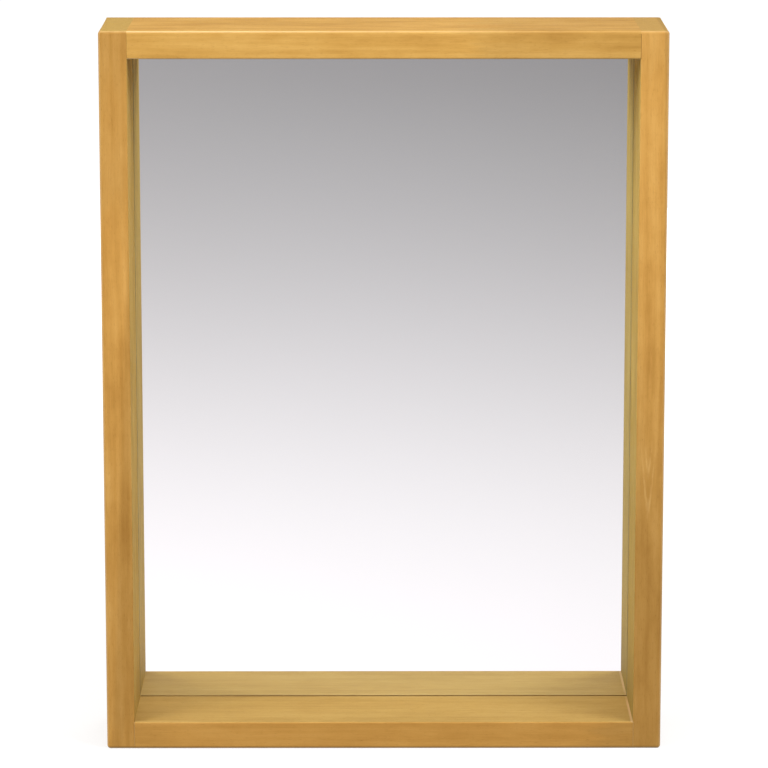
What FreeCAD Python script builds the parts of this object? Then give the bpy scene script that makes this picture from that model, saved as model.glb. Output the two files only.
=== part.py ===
import FreeCAD, Part
import os
import re

import Sketcher
from FreeCAD import Rotation, Vector

# A wall mirror set deep in a box frame of four hardwood boards. The lower board is a shelf before the glass.
# Millimetres, +Z up, origin at the middle of the frame's underside, front towards -Y.

# Driving sizes
SIZES = {
    # Frame
    "frame_width": 500,
    "frame_height": 650,
    "frame_depth": 120,
    "board_thickness": 25,
    "edge_round": 3,
    "rail_lip_round": 1.5,
    "board_arris": 0.8,
    # Rebate behind the glass, and what lies in it
    "rebate_width": 8,
    "back_recess": 12,
    "pane_clearance": 1.5,
    "glass_thickness": 4,
    "glass_arris": 0.5,
    "foam_thickness": 2,
    "panel_thickness": 4,
    "bead_depth": 10,
    "bead_round": 3,
    "bead_fit": 0.1,
    # Brad nails through the beads
    "brad_width": 1.3,
    "brad_thickness": 1.1,
    "brad_length": 16,
    "brad_point": 1.5,
    "brad_head_width": 2,
    "brad_head_height": 0.6,
    "brad_fit": 0.05,
    "brad_end_gap": 1,
    "brad_end_margin": 40,
    "side_brad_count": 4,
    "rail_brad_count": 3,
    # Fluted dowels in the corner joints
    "dowel_diameter": 10,
    "dowel_in_stile": 15,
    "dowel_in_rail": 25,
    "dowel_chamfer": 1,
    "dowel_fit": 0.05,
    "dowel_end_gap": 1,
    "dowel_margin": 17,
    "dowel_count": 2,
    "flute_count": 12,
    "flute_depth": 0.4,
    # Keyhole hanging straps, let into the back of the top rail
    "strap_width": 30,
    "strap_thickness": 2,
    "strap_drop": 33,
    "strap_top_margin": 1.5,
    "strap_inset": 55,
    "strap_fit": 0.2,
    "strap_top_round": 3,
    "strap_end_round": 8,
    "keyhole_entry": 10,
    "keyhole_slot": 5,
    "keyhole_edge": 11,
    "keyhole_travel": 12,
    # Countersunk wood screws in the straps
    "screw_diameter": 3.5,
    "screw_length": 16,
    "screw_point": 4,
    "screw_head_diameter": 7,
    "screw_head_angle": 90,
    "screw_spacing": 16,
    "screw_fit": 0.1,
    "screw_end_gap": 1,
}

# Lengths that follow from the driving sizes
FORMULAS = {
    "inner_width": "(frame_width - 2 * board_thickness)",
    "rear_land": "(board_thickness - rebate_width)",
    "opening_width": "(inner_width + 2 * rebate_width)",
    "opening_height": "(frame_height - 2 * rear_land)",
    "bead_back": "(frame_depth - back_recess)",
    "panel_back": "(bead_back - bead_depth)",
    "foam_back": "(panel_back - panel_thickness)",
    "glass_back": "(foam_back - foam_thickness)",
    "rebate_shoulder": "(glass_back - glass_thickness)",
    "pane_width": "(opening_width - 2 * pane_clearance)",
    "pane_height": "(opening_height - 2 * pane_clearance)",
    "brad_line": "(bead_back - bead_depth / 2)",
    "brad_hole_width": "(brad_width + 2 * brad_fit)",
    "brad_hole_thickness": "(brad_thickness + 2 * brad_fit)",
    "brad_head_hole": "(brad_head_width + 2 * brad_fit)",
    "brad_hole_depth": "(brad_length - rebate_width + brad_end_gap)",
    "dowel_hole": "(dowel_diameter + 2 * dowel_fit)",
    "dowel_row": "(rebate_shoulder - 2 * dowel_margin)",
    "stile_hole_depth": "(dowel_in_stile + dowel_end_gap)",
    "rail_hole_depth": "(dowel_in_rail + dowel_end_gap)",
    "strap_height": "(strap_drop + rear_land - strap_top_margin)",
    "strap_place": "(inner_width / 2 - strap_inset)",
    "screw_line": "(strap_drop + rear_land / 2)",
    "screw_hole": "(screw_diameter + 2 * screw_fit)",
    "screw_sink": "(screw_head_diameter + 2 * screw_fit)",
    "screw_head_height": "((screw_head_diameter - screw_diameter) / 2 / tan(screw_head_angle / 2 * 1deg))",
    "screw_hole_depth": "(screw_length - strap_thickness + screw_end_gap)",
}

NEAR = 1e-4

doc = FreeCAD.newDocument("box_framed_mirror")
sheet = doc.addObject("Spreadsheet::Sheet", "Sizes")
for row, (alias, size) in enumerate(SIZES.items(), start=1):
    sheet.set(f"A{row}", alias)
    sheet.set(f"B{row}", str(size))
    sheet.setAlias(f"B{row}", alias)
doc.recompute()


def spell(formula):
    """Return a formula of size names as an expression on the sheet's cells."""

    def cell(word):
        name = word.group()
        if name in FORMULAS:
            return spell(FORMULAS[name])
        return f"Sizes.{name}" if name in SIZES else name

    return re.sub(r"[a-z_]+", cell, formula)


def value(formula):
    """Return the number that a formula of size names gives."""
    return float(sheet.evalExpression(spell(formula)))


def bind(thing, **formulas):
    """Bind properties of an object to formulas of size names."""
    for name, formula in formulas.items():
        thing.setExpression(name, spell(formula))


def place(body, x, y, z, rotation=Rotation()):
    """Turn a body and bind its place in the frame to formulas."""
    body.Placement.Rotation = rotation
    for axis, formula in zip("xyz", (x, y, z)):
        body.setExpression(f".Placement.Base.{axis}", spell(formula))


def new_body(name):
    """Add the body of one sub-part."""
    body = doc.addObject("PartDesign::Body", name)
    body.Label = name
    return body


def origin_feature(body, role):
    """Return the plane or axis of a body's own origin that has the given role."""
    return next(feature for feature in body.Origin.OriginFeatures if feature.Role == role)


def new_sketch(body, name, role, lift="0", across="0"):
    """Add a sketch on an origin plane, lifted along the plane's normal and moved across it."""
    sketch = body.newObject("Sketcher::SketchObject", name)
    sketch.AttachmentSupport = [(origin_feature(body, role), "")]
    sketch.MapMode = "FlatFace"
    sketch.setExpression(".AttachmentOffset.Base.z", spell(lift))
    sketch.setExpression(".AttachmentOffset.Base.x", spell(across))
    return sketch


def dimension(sketch, formula, kind, *ends):
    """Add a dimension to a sketch and bind it to a formula."""
    number = sketch.addConstraint(Sketcher.Constraint(kind, *ends, value(formula)))
    sketch.setExpression(f"Constraints[{number}]", spell(formula))


def hold_point(sketch, geometry, point, across, up):
    """Hold a point of a sketch at its distances from the sketch's origin."""
    for kind, formula, axis in (("DistanceX", across, -2), ("DistanceY", up, -1)):
        if formula == "0":
            sketch.addConstraint(Sketcher.Constraint("PointOnObject", geometry, point, axis))
        else:
            dimension(sketch, formula, kind, -1, 1, geometry, point)


def draw_outline(sketch, corners):
    """Draw a closed outline of straight lines and hold each of its corners."""
    points = [Vector(value(across), value(up), 0) for across, up in corners]
    for start, end in zip(points, points[1:] + points[:1]):
        sketch.addGeometry(Part.LineSegment(start, end), False)
    for line, (across, up) in enumerate(corners):
        previous = (line - 1) % len(corners)
        sketch.addConstraint(Sketcher.Constraint("Coincident", previous, 2, line, 1))
        hold_point(sketch, line, 1, across, up)


def draw_rectangle(sketch, left, right, bottom, top):
    """Draw a rectangle between four distances from the sketch's origin."""
    draw_outline(sketch, [(left, bottom), (right, bottom), (right, top), (left, top)])


def draw_circle(sketch, diameter, across, up):
    """Draw a circle and hold its centre."""
    centre = Vector(value(across), value(up), 0)
    circle = sketch.addGeometry(Part.Circle(centre, Vector(0, 0, 1), value(diameter) / 2), False)
    dimension(sketch, diameter, "Diameter", circle)
    hold_point(sketch, circle, 3, across, up)


def pad(body, sketch, length):
    """Pad a sketch along its normal."""
    feature = body.newObject("PartDesign::Pad", f"{sketch.Name}_pad")
    feature.Profile = sketch
    bind(feature, Length=length)
    doc.recompute()
    return feature


def pocket(body, sketch, length):
    """Cut a sketch into the body against its normal, and see that it takes wood or metal away."""
    before = body.Shape.Volume
    feature = body.newObject("PartDesign::Pocket", f"{sketch.Name}_cut")
    feature.Profile = sketch
    bind(feature, Length=length)
    doc.recompute()
    if body.Shape.Volume >= before:
        raise RuntimeError(f"{feature.Label} in {body.Label} cuts nothing")
    return feature


def revolve(body, sketch):
    """Turn a half profile once round its sketch's upright axis."""
    feature = body.newObject("PartDesign::Revolution", f"{sketch.Name}_turn")
    feature.Profile = sketch
    feature.ReferenceAxis = (sketch, ["V_Axis"])
    feature.Angle = 360
    doc.recompute()
    return feature


def repeat(body, feature, axis, span, count, whole=False):
    """Repeat a feature, or the whole body so far, in an even row along an origin axis."""
    row_feature = body.newObject("PartDesign::LinearPattern", f"{feature.Name}_row")
    if whole:
        row_feature.TransformMode = "Whole shape"
    else:
        row_feature.Originals = [feature]
    row_feature.Direction = (origin_feature(body, axis), [""])
    bind(row_feature, Length=span, Occurrences=count)
    body.Tip = row_feature
    doc.recompute()
    return row_feature


def drill_row(body, name, role, lift, hole, depth, axis, span, count):
    """Drill an even row of round holes. hole gives the first one's diameter and centre."""
    sketch = new_sketch(body, name, role, lift)
    draw_circle(sketch, *hole)
    repeat(body, pocket(body, sketch, depth), axis, span, count)


def slot_row(body, name, role, lift, slot, depth, axis, span, count):
    """Cut an even row of square-cornered holes. slot gives the first one's centre and its two widths."""
    sketch = new_sketch(body, name, role, lift)
    across, up, width, height = slot
    left, right = f"{across} - {width} / 2", f"{across} + {width} / 2"
    draw_rectangle(sketch, left, right, f"{up} - {height} / 2", f"{up} + {height} / 2")
    repeat(body, pocket(body, sketch, depth), axis, span, count)


def edges_on(body, **planes):
    """List the body's edges that lie on all of the given planes, such as x and z."""
    wanted = [(axis, value(formula)) for axis, formula in planes.items()]

    def lies_on(edge):
        return all(abs(getattr(v.Point, axis) - at) < NEAR for v in edge.Vertexes for axis, at in wanted)

    return [f"Edge{number}" for number, edge in enumerate(body.Tip.Shape.Edges, start=1) if lies_on(edge)]


def ease(body, kind, name, size, edges):
    """Round (Fillet) or bevel (Chamfer) edges of a body."""
    feature = body.newObject(f"PartDesign::{kind}", f"{body.Name}_{name}")
    feature.Base = (feature.BaseFeature, edges)
    bind(feature, **{"Radius" if kind == "Fillet" else "Size": size})
    doc.recompute()
    return feature


def build_stile(name, x, z, rotation):
    """Side board of full height: outer face at local x 0, front at local y 0, stopped rebate at the back."""
    body = new_body(name)
    section = new_sketch(body, f"{name}_section", "XY_Plane")
    draw_rectangle(section, "0", "board_thickness", "0", "frame_depth")
    pad(body, section, "frame_height")
    shown = edges_on(body, x="0", y="0")
    for end in ("0", "frame_height"):
        shown += edges_on(body, y="0", z=end) + edges_on(body, x="0", z=end)
    ease(body, "Fillet", "shown_edges", "edge_round", shown)
    eased = edges_on(body, x="board_thickness", y="0") + edges_on(body, x="0", y="frame_depth")
    ease(body, "Chamfer", "arris", "board_arris", eased)

    rebate = new_sketch(body, f"{name}_rebate", "YZ_Plane", "board_thickness")
    draw_rectangle(rebate, "rebate_shoulder", "frame_depth", "rear_land", "frame_height - rear_land")
    pocket(body, rebate, "rebate_width")
    for end, height in (("lower", "board_thickness / 2"), ("upper", "frame_height - board_thickness / 2")):
        drill_row(
            body, f"{name}_{end}_dowel_hole", "YZ_Plane", "board_thickness",
            ("dowel_hole", "dowel_margin", height), "stile_hole_depth", "Y_Axis", "dowel_row", "dowel_count",
        )
    first_brad = "rear_land + brad_end_margin"
    slot_row(
        body, f"{name}_brad_hole", "YZ_Plane", "rear_land",
        ("brad_line", first_brad, "brad_hole_thickness", "brad_hole_width"), "brad_hole_depth",
        "Z_Axis", "opening_height - 2 * brad_end_margin", "side_brad_count",
    )
    place(body, x, "-frame_depth / 2", z, rotation)
    return body


def build_rail(name, lip_round, z, rotation, strapped=False):
    """Board between the stiles: outer face at local z 0, front at local y 0, rebate in the inner face."""
    body = new_body(name)
    section = new_sketch(body, f"{name}_section", "YZ_Plane", "-inner_width / 2")
    draw_outline(section, [
        ("0", "0"),
        ("frame_depth", "0"),
        ("frame_depth", "rear_land"),
        ("rebate_shoulder", "rear_land"),
        ("rebate_shoulder", "board_thickness"),
        ("0", "board_thickness"),
    ])
    pad(body, section, "inner_width")
    ease(body, "Fillet", "outer_edge", "edge_round", edges_on(body, y="0", z="0"))
    ease(body, "Fillet", "lip", lip_round, edges_on(body, y="0", z="board_thickness"))
    if strapped:
        cut_strap_seats(body)
    for side, end in (("left", "-inner_width / 2 + rail_hole_depth"), ("right", "inner_width / 2")):
        drill_row(
            body, f"{name}_{side}_dowel_hole", "YZ_Plane", end,
            ("dowel_hole", "dowel_margin", "board_thickness / 2"), "rail_hole_depth",
            "Y_Axis", "dowel_row", "dowel_count",
        )
    first_brad = "brad_end_margin - opening_width / 2"
    slot_row(
        body, f"{name}_brad_hole", "XY_Plane", "rear_land",
        (first_brad, "brad_line", "brad_hole_width", "brad_hole_thickness"), "brad_hole_depth",
        "X_Axis", "opening_width - 2 * brad_end_margin", "rail_brad_count",
    )
    place(body, "0", "-frame_depth / 2", z, rotation)
    return body


def cut_strap_seats(body):
    """Let the two straps into the rail's back, flush, with pilot holes for their screws."""
    seat = new_sketch(body, f"{body.Name}_strap_seat", "XZ_Plane", "strap_thickness - frame_depth")
    half = "(strap_width / 2 + strap_fit)"
    left, right = f"-strap_place - {half}", f"-strap_place + {half}"
    draw_rectangle(seat, left, right, "strap_top_margin - strap_fit", "board_thickness")
    cut = pocket(body, seat, "strap_thickness")
    repeat(body, cut, "X_Axis", "2 * strap_place", "2")
    hole_end = "strap_thickness + screw_hole_depth - frame_depth"
    for side, middle in (("left", "-strap_place"), ("right", "strap_place")):
        drill_row(
            body, f"{body.Name}_{side}_screw_hole", "XZ_Plane", hole_end,
            ("screw_hole", f"{middle} - screw_spacing / 2", "rear_land / 2"), "screw_hole_depth",
            "X_Axis", "screw_spacing", "2",
        )


def build_dowels(name, x, z, rotation):
    """Row of fluted dowels across one corner joint: local x 0 lies in the joint, the rail is towards +x."""
    body = new_body(name)
    section = new_sketch(body, f"{name}_section", "YZ_Plane", "-dowel_in_stile")
    crest, groove = "dowel_diameter / 2", "(dowel_diameter / 2 - flute_depth)"
    corners = []
    for flute in range(int(value("flute_count"))):
        for radius, turn in ((crest, flute + 0.25), (groove, flute + 0.75)):
            angle = f"{turn} * 360deg / flute_count"
            corners.append((f"{radius} * cos({angle})", f"{radius} * sin({angle})"))
    draw_outline(section, corners)
    blank = pad(body, section, "dowel_in_stile + dowel_in_rail")
    ends = edges_on(body, x="-dowel_in_stile") + edges_on(body, x="dowel_in_rail")
    ease(body, "Chamfer", "ends", "dowel_chamfer", ends)
    repeat(body, blank, "Y_Axis", "dowel_row", "dowel_count", whole=True)
    place(body, x, "dowel_margin - frame_depth / 2", z, rotation)
    return body


def build_sheet(name, thickness, back, arris=None):
    """Flat sheet that stands on the floor of the rebate: local y 0 is its back."""
    body = new_body(name)
    face = new_sketch(body, f"{name}_face", "XZ_Plane")
    draw_rectangle(face, "-pane_width / 2", "pane_width / 2", "0", "pane_height")
    pad(body, face, thickness)
    if arris:
        rims = edges_on(body, y="0") + edges_on(body, y=f"-{thickness}")
        ease(body, "Chamfer", "arris", arris, rims)
    place(body, "0", f"{back} - frame_depth / 2", "rear_land")
    return body


def place_in_rebate(body, x, z, turn):
    """Turn a bead or its brads so that local +y points into the opening and local z 0 lies at the back."""
    lying = Rotation(Vector(1, 0, 0), 90)
    place(body, x, "bead_back - frame_depth / 2", z, Rotation(Vector(0, 1, 0), turn) * lying)


def build_bead(name, length, brad_count, x, z, turn):
    """Mitred strip that holds the panel in the rebate: local y 0 lies on the board, local z 0 is its back."""
    body = new_body(name)
    half = f"({length} / 2 - bead_fit)"
    face = new_sketch(body, f"{name}_face", "XY_Plane")
    draw_outline(face, [
        (f"-{half}", "0"),
        (half, "0"),
        (f"{half} - rebate_width", "rebate_width"),
        (f"rebate_width - {half}", "rebate_width"),
    ])
    pad(body, face, "bead_depth")
    ease(body, "Fillet", "nose", "bead_round", edges_on(body, y="rebate_width", z="0"))
    first = f"brad_end_margin - {length} / 2"
    span = f"{length} - 2 * brad_end_margin"
    for part, lift, width, depth in (
        ("shank", "0", "brad_hole_width", "rebate_width"),
        ("head", "brad_head_height - rebate_width", "brad_head_hole", "brad_head_height"),
    ):
        slot = (first, "bead_depth / 2", width, "brad_hole_thickness")
        slot_row(body, f"{name}_{part}_hole", "XZ_Plane", lift, slot, depth, "X_Axis", span, brad_count)
    place_in_rebate(body, x, z, turn)
    return body


def build_brads(name, length, brad_count, x, z, turn):
    """Row of brad nails in one bead, in the bead's own frame, with heads flush with its inner face."""
    body = new_body(name)
    first = f"brad_end_margin - {length} / 2"
    side = new_sketch(body, f"{name}_side", "XY_Plane", "(bead_depth - brad_thickness) / 2", first)
    half, half_head = "brad_width / 2", "brad_head_width / 2"
    tip, neck = "(rebate_width - brad_length)", "rebate_width - brad_head_height"
    draw_outline(side, [
        (f"-{half_head}", "rebate_width"),
        (f"-{half_head}", neck),
        (f"-{half}", neck),
        (f"-{half}", f"{tip} + brad_point"),
        ("0", tip),
        (half, f"{tip} + brad_point"),
        (half, neck),
        (half_head, neck),
        (half_head, "rebate_width"),
    ])
    nail = pad(body, side, "brad_thickness")
    repeat(body, nail, "X_Axis", f"{length} - 2 * brad_end_margin", brad_count)
    place_in_rebate(body, x, z, turn)
    return body


def draw_keyhole(sketch):
    """Draw the strap's keyhole: a round entry with a round-ended slot above it."""
    entry_radius, slot_half = value("keyhole_entry / 2"), value("keyhole_slot / 2")
    entry = Vector(0, value("keyhole_edge"), 0)
    stop = Vector(0, value("keyhole_edge + keyhole_travel"), 0)
    up = Vector(0, 0, 1)
    half_turn = Part.Circle(stop, up, slot_half)
    rim = Part.Circle(entry, up, entry_radius)
    neck_rise = (entry_radius**2 - slot_half**2) ** 0.5
    left_neck, right_neck = (entry + Vector(side * slot_half, neck_rise, 0) for side in (-1, 1))
    left_top, right_top = (stop + Vector(side * slot_half, 0, 0) for side in (-1, 1))
    full_turn = rim.LastParameter
    rim_arc = Part.ArcOfCircle(rim, rim.parameter(left_neck), rim.parameter(right_neck) + full_turn)
    top_arc = Part.ArcOfCircle(half_turn, half_turn.parameter(right_top), half_turn.parameter(left_top))
    right_side = Part.LineSegment(right_neck, right_top)
    left_side = Part.LineSegment(left_top, left_neck)
    big, right, top, left = sketch.addGeometry([rim_arc, right_side, top_arc, left_side], False)
    for one, other in ((big, right), (right, top), (top, left), (left, big)):
        sketch.addConstraint(Sketcher.Constraint("Coincident", one, 2, other, 1))
    for line in (right, left):
        sketch.addConstraint(Sketcher.Constraint("Vertical", line))
    for end in (1, 2):
        sketch.addConstraint(Sketcher.Constraint("Horizontal", top, 3, top, end))
    dimension(sketch, "keyhole_entry", "Diameter", big)
    hold_point(sketch, big, 3, "0", "keyhole_edge")
    hold_point(sketch, top, 3, "0", "keyhole_edge + keyhole_travel")
    dimension(sketch, "keyhole_slot", "Diameter", top)


def build_strap(name, x):
    """Steel strap with a keyhole: local y 0 is its back, flush with the back of the frame."""
    body = new_body(name)
    face = new_sketch(body, f"{name}_face", "XZ_Plane")
    draw_rectangle(face, "-strap_width / 2", "strap_width / 2", "0", "strap_height")
    pad(body, face, "strap_thickness")
    for end, height, size in (("end", "0", "strap_end_round"), ("top", "strap_height", "strap_top_round")):
        left = edges_on(body, x="-strap_width / 2", z=height)
        right = edges_on(body, x="strap_width / 2", z=height)
        ease(body, "Fillet", f"{end}_corners", size, left + right)
    keyhole = new_sketch(body, f"{name}_keyhole", "XZ_Plane", "strap_thickness")
    draw_keyhole(keyhole)
    pocket(body, keyhole, "strap_thickness")

    holes = new_sketch(body, f"{name}_screw_holes", "XZ_Plane")
    for side in ("-screw_spacing / 2", "screw_spacing / 2"):
        draw_circle(holes, "screw_hole", side, "screw_line")
    doc.recompute()
    sink = body.newObject("PartDesign::Hole", f"{name}_countersinks")
    sink.Profile = holes
    sink.DepthType = "ThroughAll"
    sink.Reversed = True
    sink.HoleCutType = "Countersink"
    sink.HoleCutCustomValues = True
    bind(sink, Diameter="screw_hole", HoleCutDiameter="screw_sink")
    bind(sink, HoleCutCountersinkAngle="screw_head_angle")
    doc.recompute()
    place(body, x, "frame_depth / 2", "frame_height - rear_land - strap_drop")
    return body


def build_screws(name, x):
    """The two countersunk screws of one strap, in the strap's own frame, heads flush with its back."""
    body = new_body(name)
    profile = new_sketch(body, f"{name}_profile", "XY_Plane", "screw_line", "-screw_spacing / 2")
    draw_outline(profile, [
        ("0", "0"),
        ("0", "-screw_length"),
        ("screw_diameter / 2", "screw_point - screw_length"),
        ("screw_diameter / 2", "-screw_head_height"),
        ("screw_head_diameter / 2", "0"),
    ])
    repeat(body, revolve(body, profile), "X_Axis", "screw_spacing", "2")
    place(body, x, "frame_depth / 2", "frame_height - rear_land - strap_drop")
    return body


upright = Rotation()
upside_down = Rotation(Vector(0, 1, 0), 180)
half_inner = "inner_width / 2"
low_joint, high_joint = "board_thickness / 2", "frame_height - board_thickness / 2"

parts = [
    build_stile("left_stile", "-frame_width / 2", "0", upright),
    build_stile("right_stile", "frame_width / 2", "frame_height", upside_down),
    build_rail("top_rail", "rail_lip_round", "frame_height", upside_down, strapped=True),
    build_rail("shelf_board", "edge_round", "0", upright),
    build_dowels("dowels_top_left", f"-{half_inner}", high_joint, upright),
    build_dowels("dowels_top_right", half_inner, high_joint, upside_down),
    build_dowels("dowels_bottom_left", f"-{half_inner}", low_joint, upright),
    build_dowels("dowels_bottom_right", half_inner, low_joint, upside_down),
    build_sheet("mirror_pane", "glass_thickness", "glass_back", "glass_arris"),
    build_sheet("foam_sheet", "foam_thickness", "foam_back"),
    build_sheet("back_panel", "panel_thickness", "panel_back"),
]
for side, length, brad_count, x, z, turn in (
    ("bottom", "opening_width", "rail_brad_count", "0", "rear_land", 0),
    ("top", "opening_width", "rail_brad_count", "0", "frame_height - rear_land", 180),
    ("left", "opening_height", "side_brad_count", "-opening_width / 2", "frame_height / 2", 90),
    ("right", "opening_height", "side_brad_count", "opening_width / 2", "frame_height / 2", -90),
):
    parts.append(build_bead(f"{side}_bead", length, brad_count, x, z, turn))
    parts.append(build_brads(f"{side}_bead_brads", length, brad_count, x, z, turn))
for side, x in (("left", "-strap_place"), ("right", "strap_place")):
    parts.append(build_strap(f"{side}_hanger", x))
    parts.append(build_screws(f"{side}_hanger_screws", x))
doc.recompute()

# Every object has to be sound before anything is written
for thing in doc.Objects:
    if {"Invalid", "Error"} & set(thing.State):
        raise RuntimeError(f"{thing.Label} failed: {thing.State}")
for body in parts:
    if body.Shape.isNull() or not body.Shape.isValid():
        raise RuntimeError(f"{body.Label} has no valid shape")

os.makedirs("parts", exist_ok=True)
for body in parts:
    body.Shape.exportStep(f"parts/{body.Label}.step")
    solids = body.Shape.Solids
    print(f"{body.Label}: {len(solids)} solid(s), {sum(solid.Volume for solid in solids) / 1000:.2f} cm3")
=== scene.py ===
"""Looks of a wall mirror set deep in a hardwood box frame, whose lower board is a shelf.

Metres, +Z up, front towards -Y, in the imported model's own frame.
"""
import logging
import math
from collections.abc import Callable, Sequence
from dataclasses import dataclass
from enum import Enum
from itertools import combinations

import bmesh
import bpy
from mathutils import Matrix, Vector

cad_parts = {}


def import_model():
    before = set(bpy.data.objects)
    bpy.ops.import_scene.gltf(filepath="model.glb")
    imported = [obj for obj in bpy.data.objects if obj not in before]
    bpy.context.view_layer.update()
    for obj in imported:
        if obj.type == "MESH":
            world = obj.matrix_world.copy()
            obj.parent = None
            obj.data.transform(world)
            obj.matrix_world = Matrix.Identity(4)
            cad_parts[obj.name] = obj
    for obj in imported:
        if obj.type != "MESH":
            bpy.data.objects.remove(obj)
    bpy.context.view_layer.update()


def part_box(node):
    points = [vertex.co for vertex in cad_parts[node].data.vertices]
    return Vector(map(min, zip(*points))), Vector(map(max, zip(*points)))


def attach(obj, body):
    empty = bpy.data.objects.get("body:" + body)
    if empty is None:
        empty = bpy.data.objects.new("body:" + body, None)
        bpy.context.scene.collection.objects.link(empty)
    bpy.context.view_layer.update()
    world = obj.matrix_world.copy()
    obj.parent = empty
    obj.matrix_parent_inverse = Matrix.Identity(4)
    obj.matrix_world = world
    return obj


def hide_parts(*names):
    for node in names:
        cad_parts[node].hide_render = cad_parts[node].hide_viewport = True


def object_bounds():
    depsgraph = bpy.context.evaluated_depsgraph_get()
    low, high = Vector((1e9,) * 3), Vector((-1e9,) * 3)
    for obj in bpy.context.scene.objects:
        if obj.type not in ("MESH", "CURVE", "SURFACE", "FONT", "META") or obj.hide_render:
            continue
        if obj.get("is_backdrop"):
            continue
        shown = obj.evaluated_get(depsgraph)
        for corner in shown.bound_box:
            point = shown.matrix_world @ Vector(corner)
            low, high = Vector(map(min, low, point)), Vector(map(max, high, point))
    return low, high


log = logging.getLogger("wall_mirror")

BODY = "root"
ROD_SIDES = 40
SMOOTH_ANGLE = math.radians(32)
X, Y, Z = 0, 1, 2
# How near a point lies to a plane that it counts as on, and how much of a square face's normal is on one axis
NEAR, SQUARE_ON = 1e-5, 0.9

Triple = tuple[float, float, float]
Colour = Triple
Span = tuple[float, float]
Points = list[Vector]
Test = Callable[[Points], bool]
Piece = bpy.types.Object
Material = bpy.types.Material
Socket = bpy.types.NodeSocket
Feed = float | Sequence[float] | Socket

# Spans of a noise's values that are stretched over its whole range, from soft to hard contrast
SOFT, EVEN, FIRM, HARD = (0.2, 0.8), (0.25, 0.75), (0.3, 0.7), (0.35, 0.65)


class Pick(Enum):
    """Kind of mesh element that a modelling step works on."""

    EDGES = "edges"
    FACES = "faces"


class Grain(Enum):
    """Axis that the fibres of a piece of timber run along."""

    UPRIGHT = Z
    LEVEL = X

    @property
    def across(self) -> int:
        """Axis across the fibres, in the plane of the front."""
        return X if self is Grain.UPRIGHT else Z


class Side(Enum):
    """Left or right half of the object, as seen from the front."""

    LEFT = "left"
    RIGHT = "right"

    @property
    def outward(self) -> int:
        """Way along X from the middle to this side."""
        return 1 if self is Side.RIGHT else -1


class Coat(Enum):
    """Finish of one face of the pane, by the number of its material."""

    SILVER = 0
    EDGE = 1
    PAINT = 2


def on(points: Points, axis: int, place: float) -> bool:
    """Tell whether all points lie on one plane across an axis."""
    return all(abs(point[axis] - place) < NEAR for point in points)


def on_planes(*planes: tuple[int, float]) -> Test:
    """Make a test for what lies on all of some planes, each an axis and a place on it."""
    return lambda points: all(on(points, axis, place) for axis, place in planes)


def on_any(*tests: Test) -> Test:
    """Make a test for what passes at least one of some tests."""
    return lambda points: any(test(points) for test in tests)


def opaque(colour: Colour) -> tuple[float, float, float, float]:
    """Give a colour full cover, as a colour socket takes it."""
    return (*colour, 1.0)


EVERYWHERE = on_planes()


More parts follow.
